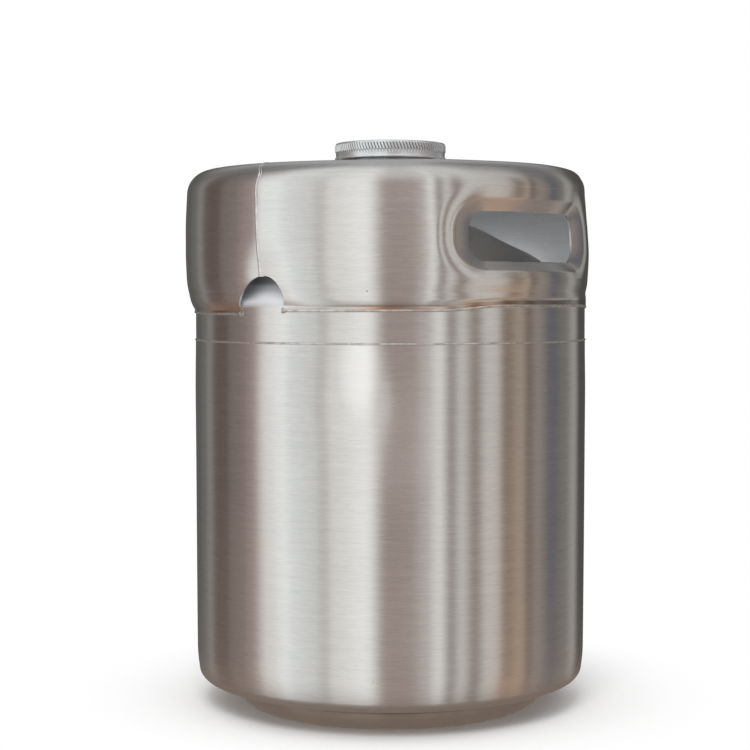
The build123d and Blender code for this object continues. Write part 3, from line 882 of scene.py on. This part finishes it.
# ---- Weld beads -------------------------------------------------------------------------------
# Four beads of weld metal join the sheets: round the cup's rim, under the collar's lower edge, up the
# collar's seam, and round the neck. They are ripply, brighter than the sheet, and straw-tinted by heat.
WELD_RIPPLE = 3  # steps round a bead for each step of the sheets
BEAD_ARC_STEPS = 10
BEAD_SINK = 0.25 * MM  # how deep a bead's middle lies in the joint


def cloudiness(tree, position, scale, detail):
    """Soft noise from 0 to 1, of a scale per metre."""
    inputs = {"Vector": position, "Scale": scale, "Detail": detail}
    return add_node(tree, "ShaderNodeTexNoise", inputs).outputs["Fac"]


def weld_metal(name, colour, contrast, tint_share):
    """Weld metal: fine ripples, dark and bright dashes, and patches that the heat has tinted."""
    material, tree, shader, position = new_finish(name)
    dashes = cloudiness(tree, position, 260.0, 3.0)
    patches = cloudiness(tree, position, 60.0, 2.0)
    ripples = cloudiness(tree, position, 1100.0, 2.0)
    surface = shaded(tree, colour, between(tree, dashes, 0.38, 0.62, 1 - contrast, 1 + contrast / 3))
    burnt = math_node(tree, "MULTIPLY", between(tree, patches, 0.45, 0.62), tint_share)
    surface = tinted(tree, burnt, surface, (*STRAW, 1), "MULTIPLY")
    tree.links.new(surface, shader.inputs["Base Color"])
    tree.links.new(between(tree, dashes, 0.3, 0.7, 0.5, 0.28), shader.inputs["Roughness"])
    raise_grain(tree, shader, ripples, 0.5, 0.15 * MM)
    shader.inputs["Metallic"].default_value = 1
    return material


def bead_section(middle, half_width, half_height, start=-180, end=180):
    """Points round a bead's section, from one angle in degrees to another."""
    points = []
    for i in range(BEAD_ARC_STEPS + 1):
        turn = math.radians(start + (end - start) * i / BEAD_ARC_STEPS)
        arm = (half_width * math.cos(turn), half_height * math.sin(turn))
        points.append(Vector((middle[0] + arm[0], middle[1] + arm[1])))
    return points


def close_bead(bead, material, node):
    """Closes the ends of a bead that doesn't go right round, and finishes it."""
    bpy.context.view_layer.objects.active = bead
    bpy.ops.object.mode_set(mode="EDIT")
    bpy.ops.mesh.select_all(action="SELECT")
    bpy.ops.mesh.fill_holes(sides=0)
    bpy.ops.mesh.normals_make_consistent(inside=False)
    bpy.ops.object.mode_set(mode="OBJECT")
    smooth(bead, 60)
    bead.data.materials.append(material)
    finish_piece(bead, "keg", node)


girth_metal = weld_metal("girth weld metal", (0.82, 0.81, 0.80), 0.2, 0.1)
seam_metal = weld_metal("ground seam metal", (0.92, 0.93, 0.94), 0.15, 0.05)
neck_metal = weld_metal("neck weld metal", (0.66, 0.62, 0.58), 0.4, 0.7)

GIRTH_HALF_HEIGHT = 0.6 * MM
GIRTH_HALF_WIDTH = 0.9 * MM
GIRTH_WAVE = 0.12 * MM
GIRTH_WAVE_SCALE = 14  # its waves up and down, and those in its width
GIRTH_WIDTH_SCALE = 60
girth_section = bead_section((flange_side - BEAD_SINK, CUP_RIM_Z), GIRTH_HALF_WIDTH, GIRTH_HALF_HEIGHT)
girth = spin_profile("girth_weld_bead", girth_section, steps=ROUND_STEPS * WELD_RIPPLE)
for vertex in girth.data.vertices:
    heading = heading_of(vertex.co)
    around = Vector((math.cos(heading), math.sin(heading), 0))
    vertex.co.z += GIRTH_WAVE * noise.noise(around * GIRTH_WAVE_SCALE)
    move_out(vertex, GIRTH_WAVE / 2 * noise.noise(around * GIRTH_WIDTH_SCALE))
close_bead(girth, girth_metal, "girth_weld")

# The edge bead follows the collar's uneven foot, is open at the drain notch, and ends in small tacks.
EDGE_HALF_WIDTH = 0.95 * MM
EDGE_HALF_HEIGHT = 0.8 * MM
EDGE_START = SEAM_HEADING + (NOTCH_TOP.x + NOTCH_RIGHT_REACH - NOTCH_FOOT_IN) / COLLAR_RADIUS
EDGE_END = SEAM_HEADING + (NOTCH_TOP.x - NOTCH_LEFT_REACH) / COLLAR_RADIUS + math.tau
TACK_REACH = math.radians(0.7)
TACK_SWELL = 1.1
EDGE_RIPPLE = 0.05
EDGE_RIPPLE_SCALE = 600
edge_middle = Vector((flange_side, COLLAR_FOOT_Z - BEAD_SINK))
edge_section = bead_section(edge_middle, EDGE_HALF_WIDTH, EDGE_HALF_HEIGHT)
edge_bead = spin_profile(
    "collar_edge_bead", edge_section, steps=ROUND_STEPS * WELD_RIPPLE, sweep=EDGE_END - EDGE_START
)
edge_bead.data.transform(Matrix.Rotation(EDGE_START, 4, "Z"))
for vertex in edge_bead.data.vertices:
    from_start = (heading_of(vertex.co) - EDGE_START) % math.tau
    to_end = min(from_start, abs(EDGE_END - EDGE_START - from_start), math.tau - from_start)
    swell = TACK_SWELL * math.exp(-((to_end / TACK_REACH) ** 2))
    swell += EDGE_RIPPLE * noise.noise(vertex.co * EDGE_RIPPLE_SCALE)
    vertex.co.z += (vertex.co.z - edge_middle.y) * swell + foot_rise(vertex.co)
    move_out(vertex, (vertex.co.xy.length - edge_middle.x) * swell)
close_bead(edge_bead, girth_metal, "collar_edge_weld")

# The seam's bead was ground to a low ridge that wanders a little, with a fine groove beside it.
# Its sizes are in millimetres where they have no MM.
SEAM_WANDER = [(249, 0.1), (270, -0.5), (283, -1.1), (294, -1.8), (302, -0.9), (309.4, -5.4)]
SEAM_LEFT = 1.8 * MM
SEAM_RIGHT = 2.4 * MM
SEAM_STEPS = 21
SEAM_DEPTH = 1.5 * MM
SEAM_FOOT_Z = NOTCH_TOP.y - 0.4 * MM
SEAM_RIDGES = [(0, 0.34, 0.55), (0.85, -0.12, 0.35)]  # offset, height and half width
SEAM_SECOND = (1.5, 0.16, 0.35)  # a second ridge, only near the rim
SEAM_SECOND_Z = (285, 297)  # the heights between which it grows
SEAM_SINK = 0.04  # how far the bead lies below its ridges' feet, and at its edges
SEAM_EDGE_SINK = 0.15
SEAM_EDGE_FADE = 0.5
seam_profile = rounded_path(
    [
        (COLLAR_RADIUS, SEAM_FOOT_Z),
        (COLLAR_RADIUS, RIM_TOP_Z),
        (COLLAR_RADIUS - 2 * RIM_ROLL_RADIUS, RIM_TOP_Z),
        (COLLAR_RADIUS - 2 * RIM_ROLL_RADIUS, roll_middle_z - RIM_LIP),
    ],
    [RIM_ROLL_RADIUS, RIM_ROLL_RADIUS],
    longest=1.5 * MM,
    arc_step=math.radians(7),
)
seam = spin_profile(
    "collar_seam_bead", seam_profile, steps=SEAM_STEPS, sweep=(SEAM_LEFT + SEAM_RIGHT) / COLLAR_RADIUS
)
seam.data.transform(Matrix.Rotation(SEAM_HEADING - SEAM_LEFT / COLLAR_RADIUS, 4, "Z"))
roll_middle = Vector((COLLAR_RADIUS - RIM_ROLL_RADIUS, roll_middle_z))
for vertex in seam.data.vertices:
    side = vertex.co.xy.length
    across = seam_offset(vertex.co) / MM
    at, height, width = SEAM_SECOND
    ridges = SEAM_RIDGES + [(at, height * smoothstep(*SEAM_SECOND_Z, vertex.co.z / MM), width)]
    lift = sum(height * math.exp(-(((across - at) / width) ** 2)) for at, height, width in ridges) - SEAM_SINK
    ground = smoothstep(0, SEAM_EDGE_FADE, min(across + SEAM_LEFT / MM, SEAM_RIGHT / MM - across))
    lift = (lift * ground - SEAM_EDGE_SINK * (1 - ground)) * MM
    way_out = Vector((side, vertex.co.z)) - roll_middle
    if vertex.co.z < roll_middle_z:
        way_out = Vector((1 if side > roll_middle.x else -1, 0))
    way_out.normalize()
    turn = along_steps(SEAM_WANDER, vertex.co.z / MM) * MM / COLLAR_RADIUS
    move_out(vertex, way_out.x * lift)
    vertex.co.z += way_out.y * lift
    vertex.co = Matrix.Rotation(turn, 3, "Z") @ vertex.co
shape_collar(seam)
thicken(seam, seam_metal, seam_metal, SEAM_DEPTH)
smooth(seam, 60)
finish_piece(seam, "keg", "collar_seam_weld")

# The neck's bead was laid by hand in one pass, so its ripples show.
NECK_BEAD_RADIUS = 2.4 * MM
NECK_BEAD_STEPS = 720
NECK_RIPPLES = 120
NECK_RIPPLE_DEPTH = 0.14 * MM
NECK_RIPPLE_LEAN = 260  # how far its ripples lean, per metre up the bead, and how far they stray
NECK_RIPPLE_STRAY = 2
NECK_STRAY_SCALE = 90
crown_at_neck_z = crown_middle_z + math.sqrt(CROWN_RADIUS**2 - NECK_RADIUS**2)
neck_section = bead_section((NECK_RADIUS, crown_at_neck_z), NECK_BEAD_RADIUS, NECK_BEAD_RADIUS, -100, 100)
neck_bead = spin_profile("neck_weld_bead", neck_section, steps=NECK_BEAD_STEPS, closed=True)
for vertex in neck_bead.data.vertices:
    arm = Vector((vertex.co.xy.length - NECK_RADIUS, vertex.co.z - crown_at_neck_z))
    lean = arm.y * NECK_RIPPLE_LEAN + NECK_RIPPLE_STRAY * noise.noise(vertex.co * NECK_STRAY_SCALE)
    ripple = NECK_RIPPLE_DEPTH * (abs(math.sin((heading_of(vertex.co) * NECK_RIPPLES + lean) / 2)) - 1)
    if arm.x > 0:
        move_out(vertex, ripple * arm.x / NECK_BEAD_RADIUS)
        vertex.co.z += ripple * arm.y / NECK_BEAD_RADIUS
close_bead(neck_bead, neck_metal, "neck_weld")

# ---- Neck -------------------------------------------------------------------------------------
# A short tube turned from stainless bar, with the thread for the cap cut below its lip. It is let into
# the shoulder and welded round. The solid of the frame is kept as it is, with a turned finish.
# the neck's colour is dark, as painted shade under the cap's bead
neck_painted_shade_steel = brushed_steel("turned steel", (0.40, 0.43, 0.43), 0.35, anisotropic=0.6)
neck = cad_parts["neck_spout"]
neck.data.materials.clear()
neck.data.materials.append(neck_painted_shade_steel)

# ---- Cap shell --------------------------------------------------------------------------------
# A cup spun from satin aluminium sheet. A band of slanting knurls goes round under its rounded top, then
# a plain skirt, and its edge is rolled into a bead and turned in under the liner.
CAP_TOP_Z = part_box("cap_shell")[1].z
CAP_FOOT_DROP = 0.9 * MM  # how far its edge reaches below the plain solid's
CAP_FOOT_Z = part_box("cap_shell")[0].z - CAP_FOOT_DROP
CAP_RADIUS = 32.05 * MM
CAP_INNER_RADIUS = 31.4 * MM
CAP_TOP_METAL = 0.8 * MM
CAP_ROUNDING = 0.9 * MM
CAP_DISH_RADIUS = 25 * MM
CAP_DISH = 0.35 * MM
CAP_DISH_ROUNDING = 3 * MM
SKIRT_IN = 0.15 * MM  # how far the skirt narrows on its way down to the bead
SKIRT_FOOT = 0.3 * MM
HEM_INNER_RADIUS = 30.6 * MM
LINER_FOOT_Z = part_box("cap_thread_liner")[0].z
BEAD_TOP_Z = CAP_FOOT_Z + 1.6 * MM
BEAD_PROUD = 0.5 * MM
BEAD_ROUNDING = 0.6 * MM
HEM_ROUNDING = 0.15 * MM
KNURL_RADIUS = 32.4 * MM
KNURL_FOOT_Z = 321.2 * MM
KNURL_TOP_Z = 325.0 * MM
KNURL_COUNT = 108
KNURL_DEPTH = 0.6 * MM
KNURL_SLANT = math.radians(20)
KNURL_RUN_OUT = 0.35 * MM
KNURL_ROUNDING = 0.1 * MM
STEPS_PER_KNURL = 6
cap_profile = rounded_path(
    [
        (0, CAP_TOP_Z - CAP_DISH),
        (CAP_DISH_RADIUS, CAP_TOP_Z - CAP_DISH),
        (CAP_DISH_RADIUS + 3 * CAP_DISH, CAP_TOP_Z),
        (CAP_RADIUS, CAP_TOP_Z),
        (CAP_RADIUS, KNURL_TOP_Z + KNURL_RUN_OUT),
        (KNURL_RADIUS, KNURL_TOP_Z),
        (KNURL_RADIUS, KNURL_FOOT_Z),
        (CAP_RADIUS, KNURL_FOOT_Z - KNURL_RUN_OUT),
        (CAP_RADIUS - SKIRT_IN, BEAD_TOP_Z + SKIRT_FOOT),
        (CAP_RADIUS - SKIRT_IN, BEAD_TOP_Z),
        (CAP_RADIUS + BEAD_PROUD, BEAD_TOP_Z),
        (CAP_RADIUS + BEAD_PROUD, CAP_FOOT_Z),
        (HEM_INNER_RADIUS, CAP_FOOT_Z),
        (HEM_INNER_RADIUS, LINER_FOOT_Z),
        (CAP_INNER_RADIUS, LINER_FOOT_Z),
        (CAP_INNER_RADIUS, CAP_TOP_Z - CAP_TOP_METAL),
        (0, CAP_TOP_Z - CAP_TOP_METAL),
    ],
    [CAP_DISH_ROUNDING] * 2
    + [CAP_ROUNDING, 0]
    + [KNURL_ROUNDING] * 2
    + [0] * 3
    + [BEAD_ROUNDING] * 2
    + [HEM_ROUNDING] * 2
    + [0] * 2,
    longest=4 * MM,
    arc_step=math.radians(20),
)
cap = spin_profile("screw_cap", cap_profile, steps=KNURL_COUNT * STEPS_PER_KNURL)
for vertex in cap.data.vertices:
    side = vertex.co.xy.length
    if side < (CAP_RADIUS + CAP_INNER_RADIUS) / 2:
        continue
    heading = heading_of(vertex.co)
    knurl = smoothstep(CAP_RADIUS, KNURL_RADIUS, side)
    knurl *= smoothstep(KNURL_FOOT_Z - KNURL_RUN_OUT, KNURL_FOOT_Z, vertex.co.z)
    cut = KNURL_DEPTH * knurl * max(0, math.cos(heading * KNURL_COUNT))
    climb = min(max(vertex.co.z, KNURL_FOOT_Z), KNURL_TOP_Z) - KNURL_FOOT_Z
    heading -= climb * math.tan(KNURL_SLANT) / KNURL_RADIUS
    vertex.co.x = (side - cut) * math.cos(heading)
    vertex.co.y = (side - cut) * math.sin(heading)
smooth(cap, 40)
ALUMINIUM = (0.90, 0.935, 0.955)
# painted shade in the bottoms of the knurl's grooves
GROOVE_PAINTED_SHADE = (0.12, 0.13, 0.13, 1)
GROOVE_SHADE_SHARE = 0.8
GROOVE_SHADE_RADII = (CAP_RADIUS - 0.25 * MM, CAP_RADIUS + 0.15 * MM)  # full within the first, none past the second


def add_knurl_painted_shade(material):
    """Darkens the bottoms of the grooves in the knurled band, as painted shade."""
    tree = material.node_tree
    position = tree.nodes["Texture Coordinate"].outputs["Object"]
    x, y, z = add_node(tree, "ShaderNodeSeparateXYZ", {0: position}).outputs
    groove_shade = between(tree, axis_distance(tree, x, y), *GROOVE_SHADE_RADII, GROOVE_SHADE_SHARE, 0.0)
    above_foot = between(tree, z, KNURL_FOOT_Z - KNURL_RUN_OUT, KNURL_FOOT_Z)
    below_top = between(tree, z, KNURL_TOP_Z, KNURL_TOP_Z + KNURL_RUN_OUT, 1.0, 0.0)
    groove_shade = math_node(tree, "MULTIPLY", math_node(tree, "MULTIPLY", groove_shade, above_foot), below_top)
    colour = tree.nodes["Principled BSDF"].inputs["Base Color"]
    tree.links.new(tinted(tree, groove_shade, colour.links[0].from_socket, GROOVE_PAINTED_SHADE), colour)


aluminium = brushed_steel("satin aluminium", ALUMINIUM, 0.30, metallic=0.9, anisotropic=0.3)
add_knurl_painted_shade(aluminium)
cap.data.materials.append(aluminium)
finish_piece(cap, "cap", "cap_shell")

# ---- Cap liner and gasket ---------------------------------------------------------------------
# Inside the cap, a moulded polypropylene insert carries its thread, and a flat washer of silicone seals
# on the neck's lip. Both solids of the frame are kept as they are, with a moulded finish.


def moulded(name, colour, roughness, grain, grain_depth):
    """A moulded plastic or rubber: faint flow marks in its colour and a fine spark-worn grain."""
    material, tree, shader, position = new_finish(name)
    flow = cloudiness(tree, position, 45.0, 3.0)
    skin = cloudiness(tree, position, grain, 2.0)
    surface = shaded(tree, colour, between(tree, flow, 0.3, 0.7, 0.94, 1.02))
    tree.links.new(surface, shader.inputs["Base Color"])
    rough = between(tree, skin, 0.3, 0.7, roughness - 0.06, roughness + 0.06)
    tree.links.new(rough, shader.inputs["Roughness"])
    raise_grain(tree, shader, skin, 0.4, grain_depth)
    return material


for node, material in (
    ("cap_thread_liner", moulded("liner plastic", (0.85, 0.85, 0.83), 0.45, 900.0, 0.05 * MM)),
    ("cap_gasket", moulded("gasket silicone", (0.88, 0.88, 0.86), 0.6, 1500.0, 0.03 * MM)),
):
    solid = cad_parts[node]
    solid.data.materials.clear()
    solid.data.materials.append(material)

# ---- Studio -----------------------------------------------------------------------------------
# A pale floor, an even white surround, one soft lamp, and a ring of large cards that only the metal
# sees. The cards are the light and dark walls of a room, and the steel's vertical bands are theirs.
CAMERA_DISTANCE = 1048.4 * MM
CAMERA_HEIGHT = 238.1 * MM
CAMERA_AZIMUTH = math.radians(44.7)
CAMERA_TILT = math.radians(2.59)
CAMERA_LENS = 85.33  # focal length and width of the sensor, in millimetres
CAMERA_SENSOR = 36
CAMERA_SHIFT = -0.0205  # of the picture's width
camera_data = bpy.data.cameras.new("camera")
camera_data.lens = CAMERA_LENS
camera_data.sensor_width = CAMERA_SENSOR
camera_data.shift_x = CAMERA_SHIFT
camera = bpy.data.objects.new("camera", camera_data)
bpy.context.scene.collection.objects.link(camera)
camera.location = (
    CAMERA_DISTANCE * math.sin(CAMERA_AZIMUTH),
    -CAMERA_DISTANCE * math.cos(CAMERA_AZIMUTH),
    CAMERA_HEIGHT,
)
camera.rotation_euler = (math.pi / 2 - CAMERA_TILT, 0, CAMERA_AZIMUTH)
bpy.context.scene.camera = camera


def seen_directly(tree):
    """1 for what the camera, a mirror or a glass shows, and 0 for the light that falls on things."""
    path = add_node(tree, "ShaderNodeLightPath")
    seen = math_node(tree, "MAXIMUM", path.outputs["Is Camera Ray"], path.outputs["Is Glossy Ray"])
    return math_node(tree, "MAXIMUM", seen, path.outputs["Is Transmission Ray"])


def stage_paint(piece, name):
    """A new material on a thing of the studio: its node tree, still empty but for places on the thing."""
    paint = bpy.data.materials.new(name)
    paint.use_nodes = True
    paint.node_tree.nodes.clear()
    piece.data.materials.append(paint)
    position = add_node(paint.node_tree, "ShaderNodeTexCoord").outputs["Object"]
    return paint.node_tree, position


def stage_disc(name, radius, z):
    """A flat disc of the studio, round the keg's axis."""
    bpy.ops.object.select_all(action="DESELECT")
    bpy.ops.mesh.primitive_circle_add(vertices=96, radius=radius, fill_type="NGON", location=(0, 0, z))
    disc = bpy.context.object
    disc.name = name
    return disc


def lay_surface(tree, factor, near, far):
    """Blends one shader node into another, as the surface of a thing of the studio."""
    mixed = add_node(tree, "ShaderNodeMixShader", {0: factor, 1: near.outputs[0], 2: far.outputs[0]})
    add_node(tree, "ShaderNodeOutputMaterial", {"Surface": mixed.outputs[0]})


def only_mirrored(piece):
    """Lets a glowing thing show in metal, and nowhere else."""
    piece.data.materials[0].cycles.emission_sampling = "NONE"
    piece.visible_camera = False
    piece.visible_diffuse = False
    piece.visible_transmission = False
    piece.visible_volume_scatter = False
    piece.visible_shadow = False


SOFT_LIGHT = 0.94  # the strength of the even light on things
world = bpy.data.worlds.new("studio")
bpy.context.scene.world = world
world.use_nodes = True
tree = world.node_tree
tree.nodes.clear()
soft_light = add_node(tree, "ShaderNodeBackground", {"Color": CLEAN_WHITE, "Strength": SOFT_LIGHT})
white_wall = add_node(tree, "ShaderNodeBackground", {"Color": CLEAN_WHITE, "Strength": 1.0})
shaders = {0: seen_directly(tree), 1: soft_light.outputs[0], 2: white_wall.outputs[0]}
mixed = add_node(tree, "ShaderNodeMixShader", shaders)
add_node(tree, "ShaderNodeOutputWorld", {"Surface": mixed.outputs[0]})

# Floor: white paper. Near the keg it takes its shadow, and further out it fades into the background.
FLOOR_RADIUS = 4.0
FLOOR_FADE = (0.115, 0.22)  # from and to this far from the keg's axis
FLOOR_WHITE = (0.93, 0.93, 0.93, 1)
floor = stage_disc("floor", FLOOR_RADIUS, 0)
tree, position = stage_paint(floor, "white paper")
away = add_node(tree, "ShaderNodeVectorMath", {0: position}, operation="LENGTH").outputs["Value"]
far = math_node(tree, "MULTIPLY", between(tree, away, *FLOOR_FADE), seen_directly(tree))
paper = add_node(tree, "ShaderNodeBsdfDiffuse", {"Color": FLOOR_WHITE})
glow = add_node(tree, "ShaderNodeEmission", {"Color": CLEAN_WHITE, "Strength": 1.0})
lay_surface(tree, far, paper, glow)
floor.visible_glossy = False

# The metal's foot mirrors a worn brown bench, which nothing else sees.
BENCH_RADIUS = 0.165
BENCH_FADE_RADIUS = 0.13  # from here it fades out to its edge
BENCH_BROWN = (0.235, 0.185, 0.155, 1)
BENCH_Z = -0.1 * MM
bench = stage_disc("bench", BENCH_RADIUS, BENCH_Z)
tree, position = stage_paint(bench, "bench brown")
away = add_node(tree, "ShaderNodeVectorMath", {0: position}, operation="LENGTH").outputs["Value"]
glow = add_node(tree, "ShaderNodeEmission", {"Color": BENCH_BROWN, "Strength": 1.0})
clear = add_node(tree, "ShaderNodeBsdfTransparent")
lay_surface(tree, between(tree, away, BENCH_FADE_RADIUS, BENCH_RADIUS), glow, clear)
only_mirrored(bench)

# Cards: each is named by the heading from the camera of its middle, in degrees, and its tone.
WHITE = (1.0, 1.03, 1.02)
PAPER = (0.84, 0.82, 0.79)
SILVER = (0.73, 0.73, 0.72)
LINEN = (0.62, 0.60, 0.57)
CLAY = (0.36, 0.28, 0.265)
ROSE = (0.37, 0.30, 0.275)
DUSK = (0.22, 0.17, 0.14)
UMBER = (0.14, 0.105, 0.095)
NIGHT = (0.08, 0.075, 0.07)
CARDS = [
    (-152, (0.11, 0.105, 0.10)),
    (-139, (0.16, 0.155, 0.145)),
    (-129, (0.26, 0.25, 0.24)),
    (-120, UMBER),
    (-109, UMBER),
    (-104, (0.21, 0.175, 0.16)),
    (-95, (0.235, 0.195, 0.18)),
    (-86, CLAY),
    (-74, (0.90, 0.89, 0.87)),
    (-63, WHITE),
    (-56, (0.82, 0.84, 0.83)),
    (-44, SILVER),
    (-38, (0.58, 0.56, 0.54)),
    (-32, PAPER),
    (-13, (0.99, 0.99, 0.97)),
    (-2, ROSE),
    (11, (0.39, 0.32, 0.29)),
    (20, (0.52, 0.48, 0.46)),
    (28, (0.87, 0.86, 0.83)),
    (34.5, (0.29, 0.25, 0.23)),
    (40.5, (0.67, 0.65, 0.62)),
    (49, (0.27, 0.215, 0.19)),
    (56, LINEN),
    (62, LINEN),
    (68.5, DUSK),
    (80, (0.40, 0.34, 0.28)),
    (85, (0.18, 0.14, 0.12)),
    (92, (0.31, 0.27, 0.245)),
    (106, (0.135, 0.135, 0.155)),
    (121, (0.20, 0.19, 0.17)),
    (133.5, (0.37, 0.36, 0.34)),
    (145, NIGHT),
]
CARD_RADIUS = 3.0
SKY_FRONT = (0.82, 0.83, 0.83, 1)
SKY_SIDE = (0.19, 0.19, 0.20, 1)
SKY_BACK = (0.64, 0.65, 0.66, 1)
CEILING = (0.42, 0.42, 0.43, 1)
SIDE_FLOOR = (0.44, 0.33, 0.27, 1)
FLOOR_BELOW = (0.14, 0.10, 0.085, 1)
LAMP_GLOW = (0.85, 0.50, 0.30, 1)
LAMP_GLOW_TURN = 73 / 360  # its middle, as a share of the whole round
bpy.ops.object.select_all(action="DESELECT")
bpy.ops.mesh.primitive_uv_sphere_add(segments=64, ring_count=32, radius=CARD_RADIUS, location=(0, 0, 0))
cards = bpy.context.object
cards.name = "room_cards"
tree, position = stage_paint(cards, "room cards")
x, y, z = add_node(tree, "ShaderNodeSeparateXYZ", {0: position}).outputs
camera_heading = CAMERA_AZIMUTH - math.pi / 2
heading = math_node(tree, "SUBTRACT", math_node(tree, "ARCTAN2", y, x), camera_heading)
share = math_node(tree, "FRACT", math_node(tree, "MULTIPLY_ADD", heading, 1 / math.tau, 1.5))
bands = add_node(tree, "ShaderNodeValToRGB", {0: share})
bands.color_ramp.interpolation = "EASE"
for i, (turn, tone) in enumerate(CARDS):
    stop = turn / 360 + 0.5
    if i in (0, len(CARDS) - 1):
        element = bands.color_ramp.elements[0 if i == 0 else -1]
        element.position = stop
    else:
        element = bands.color_ramp.elements.new(stop)
    element.color = (*tone, 1)
# Above the cards is a sky, and then a ceiling. Heights are shares of the sphere's radius, and places
# round it are shares of the whole round, from the front.
rise = math_node(tree, "DIVIDE", z, CARD_RADIUS)
from_front = math_node(tree, "ABSOLUTE", math_node(tree, "SUBTRACT", share, 0.5))
sky = tinted(tree, between(tree, from_front, 0.19, 0.27), SKY_FRONT, SKY_SIDE)
sky = tinted(tree, between(tree, from_front, 0.38, 0.44), sky, SKY_BACK)
room_tone = tinted(tree, between(tree, rise, 0.35, 0.7, 0.0, 0.65), bands.outputs[0], sky)
room_tone = tinted(tree, between(tree, rise, 0.97, 0.995), room_tone, CEILING)
# Low down, a brown floor shows in the sides, with an orange lamp on it to the right.
low = between(tree, rise, -0.12, -0.32)
side_low = math_node(tree, "MULTIPLY", low, between(tree, from_front, 0.17, 0.20, 0.0, 0.4))
room_tone = tinted(tree, side_low, room_tone, SIDE_FLOOR)
beside = math_node(tree, "ABSOLUTE", math_node(tree, "SUBTRACT", share, 0.5 + LAMP_GLOW_TURN))
near_glow = math_node(tree, "MULTIPLY", low, between(tree, beside, 0.02, 0.045, 0.36, 0.0))
room_tone = tinted(tree, near_glow, room_tone, LAMP_GLOW)
room_tone = tinted(tree, between(tree, rise, -0.74, -0.94), room_tone, FLOOR_BELOW)
glow = add_node(tree, "ShaderNodeEmission", {"Color": room_tone, "Strength": 1.0})
add_node(tree, "ShaderNodeOutputMaterial", {"Surface": glow.outputs[0]})
only_mirrored(cards)

# Lamp: a square soft box high up, a little to the left of the camera, aimed at the keg's middle.
LAMP_SIZE = 0.8
LAMP_ENERGY = 15
LAMP_DISTANCE = 1.4
LAMP_HEIGHT = 1.5
LAMP_AIM = Vector((0, 0, 0.15))
LAMP_TURN = math.radians(8)
lamp_data = bpy.data.lights.new("soft lamp", "AREA")
lamp_data.shape = "RECTANGLE"
lamp_data.size = lamp_data.size_y = LAMP_SIZE
lamp_data.energy = LAMP_ENERGY
lamp = bpy.data.objects.new("soft lamp", lamp_data)
bpy.context.scene.collection.objects.link(lamp)
lamp_heading = camera_heading - LAMP_TURN
lamp.location = (LAMP_DISTANCE * math.cos(lamp_heading), LAMP_DISTANCE * math.sin(lamp_heading), LAMP_HEIGHT)
lamp.rotation_euler = (LAMP_AIM - lamp.location).to_track_quat("-Z", "Y").to_euler()
lamp.visible_glossy = False

bpy.context.scene.view_settings.view_transform = "Standard"
